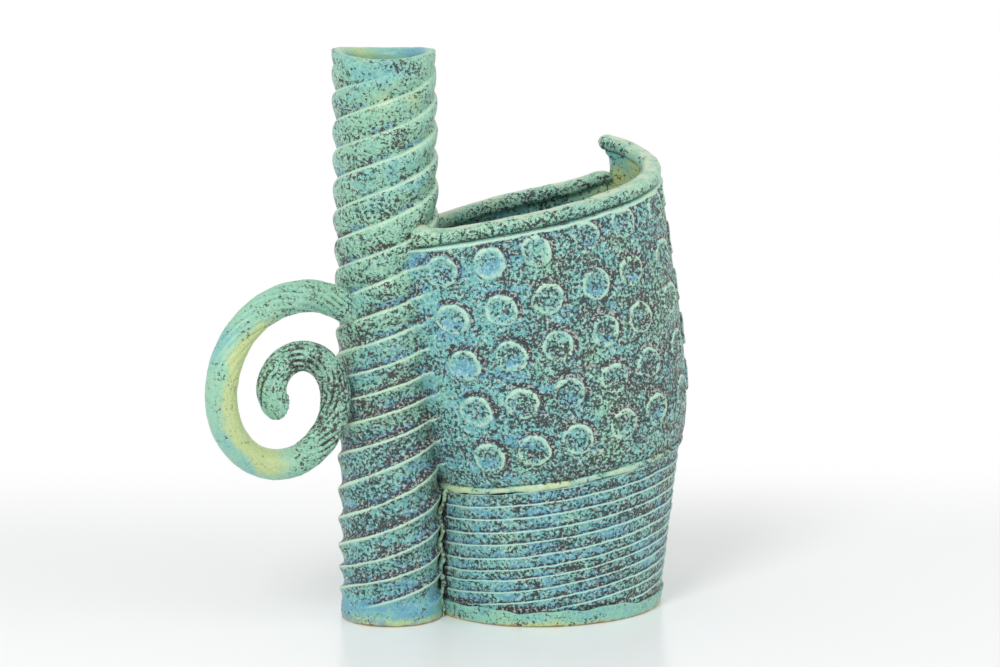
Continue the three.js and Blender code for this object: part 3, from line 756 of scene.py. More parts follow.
# Lower wall
# A strip of clay bent into a closed oval. Before it was bent, a comb was drawn along it, which left thin
# sharp ribs parallel to the tilted waist, with flat bands between them where the glaze runs dark and blue.
SLAB = 0.007
COMB_DEPTH = 0.0014
COMB_SHALLOW = 0.55
COMB_TOP = 0.0048
COMB_SECTIONS = 330
COMB_PATCH_SCALE = 38
CREVICE_REACH = 0.004
CRACK_HEIGHTS = (0.0052, 0.0026)
CRACK_WAVES = [(0.3, 9, 2.0), (0.2, 23, 0.0)]
# How far below the waist the comb's strokes lie, and the same curves across one stroke as across a rib
COMB_STROKES = np.array([7.6, 15.2, 23.2, 30.3, 38.4, 45.4, 51.3, 58.3, 65.2, 72.0, 79.2, 86.5, 93.5]) * 0.001
COMB_PHASES = np.array([
    0, 0.03, 0.07, 0.13, 0.21, 0.32, 0.45, 0.58, 0.69, 0.78, 0.85, 0.89, 0.92, 0.945, 0.965, 0.985,
])
COMB_PROFILE = [
    (0.0, 1.0), (0.035, 0.97), (0.1, 0.82), (0.25, 0.7), (0.5, 0.5), (0.72, 0.26), (0.86, 0.06), (0.92, 0.0),
    (0.95, 0.18), (0.975, 0.7), (1.0, 1.0),
]
COMB_GLAZE = [
    (0.0, 1.0), (0.04, 0.93), (0.08, 0.64), (0.2, 0.54), (0.45, 0.47), (0.68, 0.36), (0.85, 0.2),
    (0.92, 0.14), (0.945, 0.3), (0.962, 0.85), (0.98, 1.0), (1.0, 1.0),
]


def combed_ribs():
    """Draws the comb along the strip: a thin sharp rib at the top of each stroke and a flat band below."""
    bench, given = shape_tree("combed_ribs", ("Depth", "Shallow"))
    place = bench.node("GeometryNodeInputPosition").outputs[0]
    phase = bench.calc("FRACT", bench.calc("ADD", attribute(bench, "stroke"), PHASE_NUDGE))
    outside = attribute(bench, "outside")
    patches = bench.clouds(place, COMB_PATCH_SCALE, 2.0, 0.5, 1.0)
    strength = bench.ramp(patches, -0.25, 0.2, given["Shallow"], 1.0)
    ridge = bench.product(profile(bench, phase, COMB_PROFILE), strength)
    cut = bench.product(bench.calc("SUBTRACT", ridge, 1.0), given["Depth"], outside)
    normal = bench.node("GeometryNodeInputNormal").outputs[0]
    geometry = moved(bench, given["Geometry"], normal, cut)
    relief = bench.product(bench.scaled(profile(bench, phase, COMB_GLAZE), 2.0, -1.0), outside)
    relief = bench.calc("SUBTRACT", relief, bench.scaled(attribute(bench, "crevice"), 2.0))
    return finish_tree(bench, geometry, relief, given["Material"])


def lower_wall_blank():
    """The plain oval strip, cut off level where it stands on the floor slab."""
    angle = math.tau * np.arange(COMB_SECTIONS)[:, None] / COMB_SECTIONS
    strokes = np.concatenate([[0.0], COMB_STROKES])
    count = np.arange(len(strokes))
    phases = (count[:-1, None] + COMB_PHASES[None, :]).ravel()
    outer = COMB_TOP + np.interp(phases, count, strokes)
    inner = np.linspace(outer[-1], outer[0], 16)
    stroke = np.concatenate([phases, 0 * inner + 0.5])[None, :]
    depth = np.concatenate([outer, inner])[None, :]
    outside = np.concatenate([np.ones(len(outer)), np.zeros(len(inner))])[None, :]
    points = lower_place(angle, waist_height(angle) - depth, SLAB * (1 - outside))
    crevice = smooth_step(column_distance(points), COLUMN_RADIUS + CREVICE_REACH, COLUMN_RADIUS)
    crack = smooth_step(points[..., 2] - BODY_FLOOR, *CRACK_HEIGHTS)
    crack = crack * (0.5 + hand_waves(angle, CRACK_WAVES)) * outside
    crevice = np.maximum(crevice, crack)
    mesh = skin("lower_wall_blank", seated(points), True, outside=outside, crevice=crevice, stroke=stroke)
    form = bmesh.new()
    form.from_mesh(mesh)
    everything = form.verts[:] + form.edges[:] + form.faces[:]
    bmesh.ops.bisect_plane(
        form, geom=everything, plane_co=(0, 0, BODY_FLOOR), plane_no=(0, 0, 1), clear_inner=True,
    )
    rims = [line for line in form.edges if line.is_boundary]
    bmesh.ops.bridge_loops(form, edges=rims)
    bmesh.ops.recalc_face_normals(form, faces=form.faces[:])
    form.to_mesh(mesh)
    form.free()
    mesh.shade_smooth()
    return mesh


comb_glaze = glazed(
    "comb_glaze", srgb(196, 234, 220), specks=("X", 0.0, 0.09, 0.34, 0.5), blue=0.09, warmth=-0.2, tint=0.06,
)
lower_wall = shaped(
    "combed_wall", lower_wall_blank(), combed_ribs(), comb_glaze,
    **{"Depth": COMB_DEPTH, "Shallow": COMB_SHALLOW},
)
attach(lower_wall, "root")
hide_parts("lower_wall")

# Waist coil
# A thin roll of clay laid round the top of the lower wall and pressed flat under the upper slabs. It shows
# as a cream bead that closes the seam between them.
BEAD_HEIGHT = 0.0045
BEAD_PROUD = 0.0012
BEAD_SETBACK = 0.001
BEAD_SECTIONS = 360
BEAD_WAVES = [(0.16, 7, 0.6), (0.12, 16, 0.0), (0.08, 37, 0.0)]
BEAD_DULLS = (0.08, 0.135)


def waist_coil_blank():
    """A bead with a round outer side that swells and thins along its way."""
    angle = math.tau * np.arange(BEAD_SECTIONS)[:, None] / BEAD_SECTIONS
    turn = np.linspace(-math.pi / 2, math.pi / 2, 11)
    depth = list(BEAD_HEIGHT / 2 * (1 - np.sin(turn[::-1])))
    inset = list(BEAD_SETBACK - (BEAD_PROUD + BEAD_SETBACK) * np.cos(turn))
    depth += [BEAD_HEIGHT, BEAD_HEIGHT * 0.5, 0.0]
    inset += [SLAB, SLAB, SLAB]
    swell = 1 + hand_waves(angle, BEAD_WAVES)
    depth = BEAD_HEIGHT / 2 + (np.array(depth)[None, :] - BEAD_HEIGHT / 2) * swell
    points = lower_place(angle, waist_height(angle) - depth, np.array(inset)[None, :])
    groove = smooth_step(depth, BEAD_HEIGHT * 0.2, -BEAD_HEIGHT * 0.05)
    far = smooth_step(points[..., 0], *BEAD_DULLS)
    marks = {"specked": 0.2 * far, "warmed": 0.1 - 0.3 * far}
    return skin("waist_coil_blank", seated(points), True, crest=0.6 - 0.35 * far - 1.4 * groove, **marks)


edge_glaze = glazed("edge_glaze", srgb(210, 226, 188), specks=0.24, blue=-0.3, warmth=0.08, tint=0.0)
waist_coil = shaped("waist_bead", waist_coil_blank(), plain_clay, edge_glaze)
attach(waist_coil, "root")
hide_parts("waist_coil")

# Seam coils
# Two thin rolls of clay pressed into the crevices where the lower wall meets the column, in front and
# behind. They are left as narrow olive strips that hug the column and bend up to the bead of the waist.
SEAM_RADIUS = 0.0025
SEAM_ROLL = 0.0014
SEAM_LEAN = 0.0011
SEAM_DEPTH = 0.0028
SEAM_WAVE = 0.0011
SEAM_FOOT = 0.009
SEAM_TOP = 0.0795
SEAM_BEND_FROM = 0.066
SEAM_BEND = (0.0062, 0.0032)
SEAM_WAVES = [(0.18, 610, 0.0), (0.14, 1370, 0.0)]
SEAM_RINGS = 60
SEAM_SIDES = 16
SEARCH_STEPS = 4000


def seam_blank(side):
    """A thin roll up the crevice, which is the first place round the column that is outside the wall."""
    height = np.linspace(0, SEAM_TOP, SEAM_RINGS)
    angle = np.linspace(0, math.pi / 2, SEARCH_STEPS)
    centre = []
    for level in height:
        shape = FOOT + (WAIST - FOOT) * level / WAIST_NEAR_HEIGHT
        way = column_place(COLUMN_RADIUS + SEAM_RADIUS, angle, level + 0 * angle)
        run = (way[:, 0] - AXIS_X - shape[0]) / (shape[1] + SEAM_RADIUS)
        rise = way[:, 1] / (shape[2] + SEAM_RADIUS)
        centre.append(way[np.argmax(np.hypot(run, rise) > 1)])
    centre = np.array(centre)[:, None, :]
    turn = math.tau * np.arange(SEAM_SIDES)[None, :] / SEAM_SIDES
    size = SEAM_ROLL * np.clip((SEAM_TOP - height) / SEAM_RADIUS * 0.6 + 0.25, 0, 1)
    size = size * (1 + hand_waves(height, SEAM_WAVES))
    size = (size * np.clip(height / SEAM_FOOT, 0.4, 1))[:, None]
    wave = SEAM_WAVE * np.sin(math.tau * height * COLUMN_RIB_STARTS / COLUMN_RIB_LEAD)
    bend = np.clip((height - SEAM_BEND_FROM) / (SEAM_TOP - SEAM_BEND_FROM), 0, 1) ** 1.5
    centre[:, 0, 0] += wave - SEAM_LEAN + SEAM_BEND[0] * bend
    centre[:, 0, 1] += SEAM_BEND[1] * bend - SEAM_DEPTH
    points = centre + np.stack([size * np.cos(turn), size * np.sin(turn), 0 * size * turn], axis=-1)
    points[..., 1] *= side
    return skin("seam_blank", points, False, crest=-0.1 - 0.9 * np.cos(turn))


seam_glaze = glazed("seam_glaze", srgb(168, 176, 120), specks=0.3, blue=-0.4, warmth=0.2, tint=-0.2)
for name, side in (("front_seam_coil", -1), ("back_seam_coil", 1)):
    seam = shaped(name.replace("coil", "strip"), seam_blank(side), plain_clay, seam_glaze)
    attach(seam, "root")
    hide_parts(name)

# Upper walls
# Two slabs bent round the mouth, stamped with rows of rings while they were flat. The front slab climbs round
# the far end to the pouring tip, the back slab ends lower beside it, and both are luted to the column.
RIM_OVERHANG = 0.0414
RIM_HALF_LENGTH = 0.08925
RIM_HALF_WIDTH = 0.0545
RIM = np.array([BODY_NEAR - RIM_OVERHANG + RIM_HALF_LENGTH, RIM_HALF_LENGTH, RIM_HALF_WIDTH])
BELLY = 0.0055
UPPER_HEIGHT = 0.145
INNER_ROWS = 40
LUTE_DEPTH = 0.0035
SEARCH_SECTIONS = 1500
TIP_ANGLE = math.radians(-36)
FRONT_RIM_HEIGHTS = (0.216, 0.260)
BACK_RIM_HEIGHTS = (0.199, 0.2425)
BACK_RIM_FLICK = 0.003
BACK_FLICK_REACH = (-0.3, 0.12)
FRONT_RIM_FLICK = 0.004
TIP_SCOOP = 0.0055
TIP_SCOOP_SHARE = 0.945
TIP_SCOOP_SPREAD = 0.03
WALL_EDGE = 0.0016
WALL_RIDGE = 0.0017
WALL_RIDGE_PROUD = 0.0006
SMEAR_REACH = 0.0115
SMEAR_DEPTH = 0.0022
SMEAR_JOINT = 0.001
SMEAR_DIRT = (0.03, 0.006)
BACKLIT_FAR_INSIDE = (0.12, 0.15)
RING_ANGLES = np.radians([154.0, 133.5, 114.0, 95.5, 75.0, 57.0, 33.0, 11.0, -12.0, -35.0])
RING_COLUMNS = np.arange(len(RING_ANGLES)) - 1.0
RING_ROW_PITCH = 0.0272
RING_FIRST_ROW = 0.0138
RING_CLIMB = 0.0012
RING_CLIMB_END = 4.0
RING_REACH = 0.014
RING_PROUD = 0.002
RING_ROWS = 5.0
RING_JITTER = 0.0005
RING_WARP = 0.0017
RING_WARP_SCALE = 95
RING_WEAR_SCALE = 170
# From the middle of a stamped ring at 0 to its reach at 1: the clay, and the relief that its glaze shows
RING_PROFILE = [
    (0.0, 0.24), (0.22, 0.26), (0.33, 0.36), (0.42, 0.7), (0.5, 0.95), (0.56, 1.0), (0.615, 0.84),
    (0.66, 0.24), (0.71, 0.02), (0.78, 0.04), (0.86, 0.24), (0.92, 0.3), (1.0, 0.3),
]
RING_GLAZE = [
    (0.0, 0.34), (0.2, 0.4), (0.32, 0.5), (0.42, 0.68), (0.5, 0.8), (0.56, 0.94), (0.6, 1.0), (0.625, 0.9),
    (0.655, 0.3), (0.69, 0.0), (0.79, 0.02), (0.86, 0.32), (0.92, 0.46), (1.0, 0.5),
]


def front_rim(angle):
    """The height of the front slab's top, climbing from the column to the pouring tip."""
    share = (math.pi - angle) / (math.pi - TIP_ANGLE)
    eased = share + 0.45 * (smooth_step(share, 0, 1) - share)
    low, high = FRONT_RIM_HEIGHTS
    return low + (high - low) * eased + FRONT_RIM_FLICK * smooth_step(angle / TIP_ANGLE, 0, 1)


def back_rim(angle):
    """The height of the back slab's top, up to the step beside the tip."""
    share = (math.pi + angle) / (math.pi + TIP_ANGLE)
    low, high = BACK_RIM_HEIGHTS
    flick = BACK_RIM_FLICK * smooth_step(angle - TIP_ANGLE, *BACK_FLICK_REACH)
    return low + (high - low) * share + flick


def upper_place(angle, share, rim_height, inset):
    """Points of an upper wall from the waist, share 0, to the rim, share 1."""
    swell = BELLY * np.sin(math.pi * np.clip(share, 0, 1) ** 0.6)
    low = waist_height(angle)
    height = low + share * (rim_height(angle) - low)
    return oval_place(WAIST, RIM, share, angle, inset - swell, height)


def wall_end(share, rim_height, side):
    """The angle at which a wall reaches into the column, for each share of its height."""
    angle = np.linspace(math.pi / 2, math.pi, SEARCH_SECTIONS)[:, None] * side
    points = upper_place(angle, share[None, :], rim_height, SLAB / 2)
    inside = column_distance(points) < COLUMN_RADIUS - LUTE_DEPTH
    first = np.where(inside.any(axis=0), inside.argmax(axis=0), len(angle) - 1)
    return angle[first, 0]


def slab_section(outer_rows):
    """Shares of the height and insets round a slab: up its outside, over its rounded edge and down inside."""
    corner = np.linspace(0, math.pi / 2, 5)
    edge = WALL_EDGE / UPPER_HEIGHT
    outer = np.linspace(0, 1 - edge, outer_rows)
    inner = np.linspace(1 - edge, 0, INNER_ROWS)[1:]
    share = [outer, 1 - edge * (1 - np.sin(corner[1:])), [1.0, 1.0]]
    share += [1 - edge * (1 - np.sin(corner[::-1])), inner]
    inset = [0 * outer, WALL_EDGE * (1 - np.cos(corner[1:])), [SLAB * 0.4, SLAB * 0.6]]
    inset += [SLAB - WALL_EDGE * (1 - np.cos(corner[::-1])), 0 * inner + SLAB]
    return np.concatenate(share), np.concatenate(inset)


def ring_marks(points, angle, share, rim_height, side):
    """Where each point lies among the rings: counted along the slab, and in metres below the rim."""
    across = np.interp(-side * angle, -RING_ANGLES, RING_COLUMNS)
    cell = np.clip(np.floor(across).astype(int) + 1, 0, len(RING_ANGLES) - 2)
    step = RING_ANGLES[cell] - RING_ANGLES[cell + 1]
    half_length = WAIST[1] + (RIM[1] - WAIST[1]) * share
    half_width = WAIST[2] + (RIM[2] - WAIST[2]) * share
    wide = step * np.hypot(half_length * np.sin(angle), half_width * np.cos(angle))
    under = rim_height(angle) - points[..., 2] + RING_CLIMB * np.clip(across, 0, RING_CLIMB_END)
    return {"across": across, "wide": wide, "under": under}


def smear_marks(points, side, outside):
    """Where the column's ribs are smeared on over the slab, and which part of a rib each point carries on."""
    beside = column_distance(points)
    lean = COLUMN_LEAN * points[..., 2] / COLUMN_HEIGHT
    bearing = np.arctan2(points[..., 1], points[..., 0] - AXIS_X + lean)
    steps = np.linalg.norm(np.diff(points, axis=0, prepend=points[:1]), axis=-1)
    passed = np.cumsum(steps, axis=0)
    joint = np.argmax(beside < COLUMN_RADIUS - SMEAR_JOINT, axis=0)[None, :]
    gone = np.take_along_axis(passed, joint, axis=0) - passed
    bearing = np.take_along_axis(bearing, joint, axis=0) + side * gone / COLUMN_RADIUS
    drift = np.interp(points[..., 2] / COLUMN_HEIGHT, *np.transpose(RIB_DRIFT)) - 0.5
    climb = points[..., 2] - RIB_DRIFT_REACH * drift
    rib = np.mod(COLUMN_RIB_STARTS * (bearing / math.tau - climb / COLUMN_RIB_LEAD), 1)
    smear = smooth_step(beside - COLUMN_RADIUS, SMEAR_REACH, 0.3 * SMEAR_REACH) * outside
    return {"rib": rib, "smear": smear}


def upper_blank(name, rim_height, side, outer_rows, sections):
    """A slab from the tip to the column, with marks for the ring stamp, the smeared ribs and the glaze."""
    share, inset = slab_section(outer_rows)
    end = wall_end(share, rim_height, side)
    ridge = np.exp(-((1 - share) * UPPER_HEIGHT / WALL_RIDGE - 0.6) ** 2 * 3) * (inset < SLAB / 2)
    inset = inset - WALL_RIDGE_PROUD * ridge
    scoop = TIP_SCOOP / RIM[2] * np.exp(-((share - TIP_SCOOP_SHARE) / TIP_SCOOP_SPREAD) ** 2) * (side > 0)
    along = np.linspace(0, 1, sections)[:, None]
    share, inset, end, ridge, begin = (row[None, :] for row in (share, inset, end, ridge, TIP_ANGLE + scoop))
    angle = begin + along * (end - begin)
    points = upper_place(angle, share, rim_height, inset)
    outside = np.where(np.arange(share.size) < outer_rows, 1.0, 0.0)[None, :]
    marks = {"outside": outside, "edge": ridge}
    marks.update(ring_marks(points, angle, share, rim_height, side))
    marks.update(smear_marks(points, side, outside))
    # The inside of the far end and the top of the front slab's tip are painted paler, with fewer dark specks
    # and no blue pools: painted light, as if lit from behind. The far inside is also turned yellow-green.
    far = smooth_step(points[..., 0] - AXIS_X, *BACKLIT_FAR_INSIDE) * (1 - outside)
    tip = smooth_step(along, 0.03, 0.01) * smooth_step(share, 0.8, 0.9) * (side > 0)
    dirt = smooth_step(column_distance(points) - COLUMN_RADIUS, *SMEAR_DIRT) * smooth_step(share, 0.6, 0.1)
    specked = outside * (0.11 * (1 - share) + 0.12 * dirt)
    marks["specked"] = specked - 0.2 * (1 - outside) - 0.3 * np.maximum(far, tip)
    marks["warmed"] = 0.32 * far
    marks["pooled"] = -0.6 * np.maximum(far, tip)
    return skin(name, points, False, **marks)


def stamped_rings():
    """Stamps rings in rows below the rim, each a little out of place, and presses the smeared ribs on."""
    sizes = ("Row Pitch", "First Row", "Reach", "Proud", "Rows", "Jitter", "Seed", "Rib Depth")
    bench, given = shape_tree("stamped_rings", sizes)
    place = bench.node("GeometryNodeInputPosition").outputs[0]
    outside = attribute(bench, "outside")
    across = attribute(bench, "across")
    down = bench.calc("SUBTRACT", attribute(bench, "under"), given["First Row"])
    down = bench.calc("DIVIDE", down, given["Row Pitch"])
    column = bench.calc("MAXIMUM", bench.calc("ROUND", across), 0.0)
    row = bench.calc("ROUND", down)
    row = bench.calc("MAXIMUM", bench.calc("MINIMUM", row, bench.calc("SUBTRACT", given["Rows"], 1.0)), 0.0)

    # Which ring is nearest, how the hand misplaced it, and how far its middle is
    cell = bench.node("ShaderNodeCombineXYZ", {0: column, 1: row, 2: given["Seed"]}).outputs[0]
    chance = bench.node("ShaderNodeTexWhiteNoise", {"Vector": cell}, noise_dimensions="3D").outputs["Color"]
    slip, drop, press = bench.node("ShaderNodeSeparateXYZ", {0: chance}).outputs
    side = bench.product(bench.calc("SUBTRACT", across, column), attribute(bench, "wide"))
    side = bench.scaled(bench.scaled(slip, 2.0, -1.0), given["Jitter"], side)
    fall = bench.product(bench.calc("SUBTRACT", down, row), given["Row Pitch"])
    fall = bench.scaled(bench.scaled(drop, 2.0, -1.0), given["Jitter"], fall)
    warp = bench.noise(place, RING_WARP_SCALE, 1.0).outputs[1]
    warp_x, warp_y, warp_z = bench.node("ShaderNodeSeparateXYZ", {0: warp}).outputs
    side = bench.calc("ADD", side, bench.scaled(warp_x, 2 * RING_WARP, -RING_WARP))
    fall = bench.calc("ADD", fall, bench.scaled(warp_y, 2 * RING_WARP, -RING_WARP))
    spread = bench.length(side, fall)
    share = bench.calc("MINIMUM", bench.calc("DIVIDE", spread, given["Reach"]), 1.0)
    strength = bench.product(bench.scaled(press, 0.4, 0.7), outside)

    # The ring's lip and moat, deeper on one side, and the column's ribs
    way = bench.calc("DIVIDE", bench.calc("SUBTRACT", side, fall), bench.calc("MAXIMUM", spread, 0.001))
    moat = bench.ramp(way, -0.7, 0.9, 0.12, 1.0)
    normal = bench.node("GeometryNodeInputNormal").outputs[0]
    lift = bench.scaled(profile(bench, share, RING_PROFILE), 1.0, -0.3)
    low = bench.product(bench.calc("MINIMUM", lift, 0.0), moat)
    lift = bench.calc("ADD", bench.calc("MAXIMUM", lift, 0.0), low)
    lift = bench.product(lift, strength, given["Proud"])
    smear = attribute(bench, "smear")
    rib = bench.scaled(profile(bench, attribute(bench, "rib"), LOW_RIB_PROFILE), 1.0, -0.5)
    lift = bench.scaled(bench.product(rib, smear), given["Rib Depth"], lift)
    geometry = moved(bench, given["Geometry"], normal, lift)

    # The relief that the glaze reads: rings, then ribs over them, then the pale ridge under the rim
    relief = bench.scaled(profile(bench, share, RING_GLAZE), 2.0, -1.0)
    inner = bench.ramp(share, 0.45, 0.3)
    low = bench.product(bench.calc("MINIMUM", relief, 0.0), bench.calc("MAXIMUM", moat, inner))
    worn = bench.ramp(bench.clouds(place, RING_WEAR_SCALE, 2.0, 0.6, 1.0), -0.2, 0.15, 0.45, 1.0)
    worn = bench.product(worn, bench.scaled(moat, 0.32, 0.68))
    relief = bench.product(bench.scaled(bench.calc("MAXIMUM", relief, 0.0), worn, low), outside)
    rib = bench.scaled(profile(bench, attribute(bench, "rib"), RIB_GLAZE), 2.0, -1.0)
    smear = bench.product(smear, bench.ramp(warp_z, 0.3, 0.6, 0.6, 1.0))
    relief = bench.product(relief, bench.scaled(smear, -1.0, 1.0))
    relief = bench.scaled(rib, smear, relief)
    edge = attribute(bench, "edge")
    relief = bench.scaled(relief, bench.scaled(edge, -1.0, 1.0), edge)

    # Blue that settles in the lower half of the deeper rings
    pooled = bench.product(bench.ramp(fall, -0.001, 0.005, 0.0, 0.3), bench.ramp(share, 0.5, 0.36))
    pooled = bench.product(pooled, outside, bench.ramp(press, 0.2, 0.7))
    geometry = marked(bench, geometry, "pooled", bench.calc("ADD", pooled, attribute(bench, "pooled")))
    return finish_tree(bench, geometry, relief, given["Material"])


ring_glaze = glazed(
    "ring_glaze", srgb(200, 230, 204), specks=("X", 0.0, 0.05, 0.27, 0.5), blue=("X", 0.0, 0.05, 0.06, 0.01),
    warmth=-0.12, tint=("X", 0.0, 0.08, 0.14, 0.02),
)
ring_tree = stamped_rings()
upper_walls = (
    ("upper_front_wall", front_rim, 1, 190, 340, 3.0),
    ("upper_back_wall", back_rim, -1, 170, 240, 8.0),
)
for name, rim_height, side, outer_rows, sections, seed in upper_walls:
    upper_wall = shaped(
        name.replace("upper", "stamped"), upper_blank(name, rim_height, side, outer_rows, sections),
        ring_tree, ring_glaze,
        **{"Row Pitch": RING_ROW_PITCH, "First Row": RING_FIRST_ROW, "Reach": RING_REACH, "Proud": RING_PROUD,
           "Rows": RING_ROWS, "Jitter": RING_JITTER, "Seed": seed, "Rib Depth": SMEAR_DEPTH},
    )
    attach(upper_wall, "root")
    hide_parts(name)

# Rim coils
# Rolls of clay laid along the tops of the two slabs and set back a little, so that a dark groove runs under
# them. The front roll ends in a rounded nub over the pouring tip, and both are smeared up the column.
COIL_WIDTH = 0.011
COIL_HEIGHT = 0.009
COIL_SETBACK = 0.002
FAR_SETBACK = 0.0026
COIL_ROUNDNESS = 0.75
NUB_LENGTH = 0.006
ROOT_LENGTH = 0.014
FLAP_RISE = 0.006
FLAP_LENGTH = 0.02
TIP_REACH = 0.0035 / RIM[2]
ROOT_REACH = 0.004 / RIM[2]
BACK_COIL_SINK = 0.0006
COIL_SECTIONS = 240
COIL_SIDES = 28
COIL_BACKLIT_END = (0.11, 0.165)


def rim_coil_blank(rim_height, side, from_angle, nub_length):
    """A flattened roll along a slab's top, rounded off at the tip and flapped up against the column."""
    fine = np.linspace(math.pi / 2, math.pi, SEARCH_SECTIONS) * side
    inset_middle = COIL_SETBACK + COIL_WIDTH / 2
    line = oval_place(RIM, RIM, 0.0, fine, inset_middle, rim_height(fine))
    end = fine[np.argmax(column_distance(line) < COLUMN_RADIUS - LUTE_DEPTH)]
    angle = np.linspace(from_angle, end, COIL_SECTIONS)[:, None]
    speed = math.hypot(RIM[1] * math.sin(from_angle), RIM[2] * math.cos(from_angle))
    nub = np.clip(np.abs(angle - from_angle) * speed / nub_length, 0, 1)
    size = np.sqrt(np.clip(nub * (2 - nub), 0.02, 1))
    turn = math.tau * np.arange(COIL_SIDES)[None, :] / COIL_SIDES
    run = np.sign(np.cos(turn)) * np.abs(np.cos(turn)) ** COIL_ROUNDNESS
    rise = np.sign(np.sin(turn)) * np.abs(np.sin(turn)) ** COIL_ROUNDNESS
    # Towards the far end the roll is set back, and its glaze is painted as if lit from behind: a paler crest
    # and fewer dark specks, with less yellow and a little more blue.
    far = smooth_step(oval_place(RIM, RIM, 0.0, angle, 0.0, 0.0)[..., 0] - AXIS_X, *COIL_BACKLIT_END)
    inset = inset_middle - FAR_SETBACK * far + size * run * COIL_WIDTH / 2
    flap = FLAP_RISE * smooth_step(np.abs(angle - end) * RIM[2], FLAP_LENGTH, 0) ** 1.5
    middle = COIL_HEIGHT / 2 if side > 0 else size * COIL_HEIGHT / 2 - BACK_COIL_SINK
    height = rim_height(angle) + middle + size * rise * COIL_HEIGHT / 2
    height = height + flap * (rise + 1) / 2 * (0.7 + 0.3 * run)
    points = oval_place(RIM, RIM, 0.0, angle, inset, height)
    crest = 0.1 + 0.3 * rise + 0.3 * smooth_step(rise, 0.8, 1.0) + 0.12 * far
    marks = {"specked": -0.2 * far, "warmed": -0.1 * far, "pooled": 0.16 * far}
    return skin("rim_coil_blank", points, False, crest=crest, **marks)


coil_glaze = glazed("coil_glaze", srgb(212, 222, 192), specks=0.35, blue=-0.25, warmth=0.02, tint=-0.15)
rim_coils = (
    ("front_rim_coil", front_rim, 1, TIP_ANGLE - TIP_REACH, NUB_LENGTH),
    ("back_rim_coil", back_rim, -1, TIP_ANGLE + ROOT_REACH, ROOT_LENGTH),
)
for name, rim_height, side, from_angle, nub_length in rim_coils:
    blank = rim_coil_blank(rim_height, side, from_angle, nub_length)
    rim_coil = shaped(name.replace("coil", "roll"), blank, plain_clay, coil_glaze)
    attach(rim_coil, "root")
    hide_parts(name)

# Handle
# A tapering roll of clay, twisted so that shallow flutes wind round parts of it, then bent into a spiral. Its
# root is pressed onto the column and its curl touches the column again lower down.
HANDLE_TURN = math.radians(17)
HANDLE_CENTRE_HEIGHT = 0.1396
HANDLE_RADII = (0.0598, 0.0089)
HANDLE_START = math.radians(55)
HANDLE_SWEEP = math.radians(526)
HANDLE_TIP_REACH = math.radians(9)
HANDLE_SEAT = math.radians(350)
HANDLE_THICKNESS = (0.0092, 0.0086)
HANDLE_PRESS = 0.0015
HANDLE_TIP_ROUND = 0.0045
HANDLE_TIP_ROWS = 12
HANDLE_ROOT_SINK = 0.004
HANDLE_PATH_STEPS = 1200
HANDLE_SECTIONS = 460
HANDLE_SIDES = 126
FLUTE_COUNT = 14.0
FLUTE_LEAD = -0.16
FLUTE_DEPTH = 0.0017
FLUTE_REACH = 0.37
FLUTE_SHARPNESS = 2.2
FLUTE_PATCH_SCALE = 70
# How deep the flutes are along the handle, from its root at 0 to its tip at 1
FLUTE_STRENGTH = [
    (0.0, 0.7), (0.1, 0.6), (0.18, 0.5), (0.27, 0.25), (0.36, 0.08), (0.48, 0.08), (0.57, 0.6), (0.62, 0.95),
    (0.8, 0.85), (0.9, 0.4), (0.96, 0.1), (1.0, 0.0),
]


def handle_radius(angle):
    """The spiral's radius, which shrinks evenly as it winds."""
    return HANDLE_RADII[0] + (HANDLE_RADII[1] - HANDLE_RADII[0]) * (angle - HANDLE_START) / HANDLE_SWEEP


def handle_thickness(share):
    """Half the roll's thickness, from its root at 0 to its tip at 1."""
    return HANDLE_THICKNESS[0] + (HANDLE_THICKNESS[1] - HANDLE_THICKNESS[0]) * share


def handle_path():
    """The roll's middle line as reach from the column's axis, height and length: a straight root, then the
    spiral, placed so that its curl presses on the column."""
    seat_share = (HANDLE_SEAT - HANDLE_START) / HANDLE_SWEEP
    seat_reach = COLUMN_RADIUS + handle_thickness(seat_share) - HANDLE_PRESS
    centre_reach = seat_reach + handle_radius(HANDLE_SEAT) * math.cos(HANDLE_SEAT)
    angle = HANDLE_START + (HANDLE_SWEEP + HANDLE_TIP_REACH) * np.linspace(0, 1, HANDLE_PATH_STEPS)
    reach = centre_reach - handle_radius(angle) * np.cos(angle)
    height = HANDLE_CENTRE_HEIGHT + handle_radius(angle) * np.sin(angle)
    slope = (height[1] - height[0]) / (reach[1] - reach[0])
    root = np.linspace(COLUMN_RADIUS - HANDLE_ROOT_SINK, reach[0], 30)[:-1]
    height = np.concatenate([height[0] + slope * (root - reach[0]), height])
    reach = np.concatenate([root, reach])
    length = np.concatenate([[0], np.cumsum(np.hypot(np.diff(reach), np.diff(height)))])
    return reach, height, length


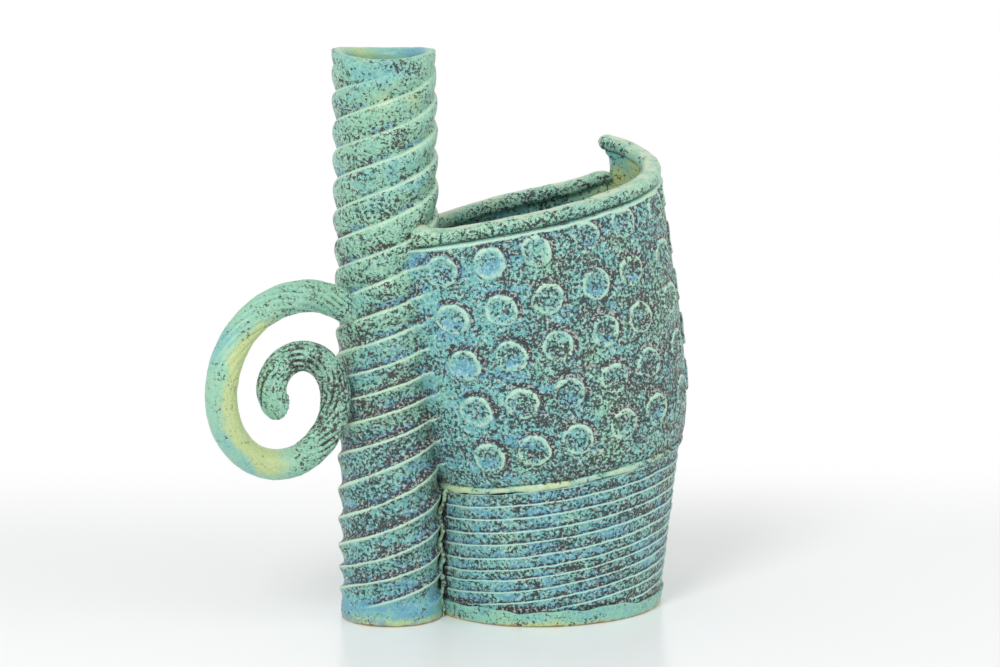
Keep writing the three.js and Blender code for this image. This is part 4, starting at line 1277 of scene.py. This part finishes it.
def handle_blank():
    """The plain round roll along its path, with marks for the flutes and the glaze."""
    reach, height, length = handle_path()
    whole = length[-1]
    along = np.linspace(0, whole, HANDLE_SECTIONS)
    rounding = 1 - np.sin(np.linspace(0, 0.97, HANDLE_TIP_ROWS) * math.pi / 2)
    along = np.concatenate([along[along < whole - HANDLE_TIP_ROUND], whole - HANDLE_TIP_ROUND * rounding])
    reach, height = np.interp(along, length, reach), np.interp(along, length, height)
    tangent = np.stack([np.gradient(reach, along), np.gradient(height, along)], axis=-1)
    tangent /= np.linalg.norm(tangent, axis=-1, keepdims=True)
    left = np.clip((whole - along) / HANDLE_TIP_ROUND, 0, 1)
    size = handle_thickness(along / whole) * np.sqrt(np.clip(1 - (1 - left) ** 2, 0.01, 1))
    turn = math.tau * np.arange(HANDLE_SIDES)[None, :] / HANDLE_SIDES
    up = size[:, None] * np.cos(turn)
    aside = size[:, None] * np.sin(turn)
    reach = reach[:, None] - tangent[:, 1:] * up
    height = height[:, None] + tangent[:, :1] * up
    lean = COLUMN_LEAN * HANDLE_CENTRE_HEIGHT / COLUMN_HEIGHT
    x = AXIS_X - lean - reach * math.cos(HANDLE_TURN) - aside * math.sin(HANDLE_TURN)
    y = -reach * math.sin(HANDLE_TURN) + aside * math.cos(HANDLE_TURN)
    points = np.stack([x, y, height], axis=-1)
    share = along[:, None] / whole
    outer = smooth_step(np.cos(turn), -0.25, 1.0)
    bare = smooth_step(share, 0.1, 0.28) * smooth_step(share, 0.62, 0.5)
    curl = smooth_step(share, 0.5, 0.7) * smooth_step(share, 0.99, 0.92)
    root = smooth_step(share, 0.06, 0.02)
    marks = {"along": along[:, None], "turn": turn / math.tau}
    marks["warmed"] = bare * (0.5 - 0.44 * outer) - 0.04
    marks["pooled"] = 0.16 * smooth_step(outer, 0.6, 1.0) * bare
    # The extra dark specks in the curl are painted shade.
    marks["specked"] = 0.2 * curl - 0.13 * bare + 0.4 * root
    return skin("handle_blank", points, False, **marks)


def twisted_flutes():
    """Presses flutes along the roll that wind round it, deep near its root and in its curl."""
    bench, given = shape_tree("twisted_flutes", ("Flutes", "Lead", "Depth", "Length"))
    along = attribute(bench, "along")
    share = bench.calc("DIVIDE", along, given["Length"])
    turns = bench.calc("ADD", attribute(bench, "turn"), bench.calc("DIVIDE", along, given["Lead"]))
    wave = bench.calc("COSINE", bench.product(turns, given["Flutes"], math.tau))
    groove = bench.calc("POWER", bench.scaled(wave, 0.5, 0.5), FLUTE_SHARPNESS)
    place = bench.node("GeometryNodeInputPosition").outputs[0]
    uneven = bench.noise(place, FLUTE_PATCH_SCALE, 2.0).outputs[0]
    strength = profile(bench, share, FLUTE_STRENGTH)
    groove = bench.product(groove, bench.ramp(uneven, 0.32, 0.62, 0.15, 1.1), strength)
    normal = bench.node("GeometryNodeInputNormal").outputs[0]
    geometry = moved(bench, given["Geometry"], normal, bench.product(groove, given["Depth"], -1.0))
    # From halfway along, the roll gets less of the pale crest colour and a little more speck: painted shade
    # on the curl.
    relief = bench.scaled(groove, -1.6, bench.ramp(share, 0.5, 0.65, 0.3, -0.1))
    return finish_tree(bench, geometry, relief, given["Material"])


handle_glaze = glazed(
    "handle_glaze", srgb(196, 226, 200), specks=0.06, blue=-0.2, warmth=0.0, tint=-0.1,
)
handle = shaped(
    "spiral_handle", handle_blank(), twisted_flutes(), handle_glaze,
    **{"Flutes": FLUTE_COUNT, "Lead": FLUTE_LEAD, "Depth": FLUTE_DEPTH, "Length": FLUTE_REACH},
)
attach(handle, "root")
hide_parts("handle")

bpy.context.view_layer.update()
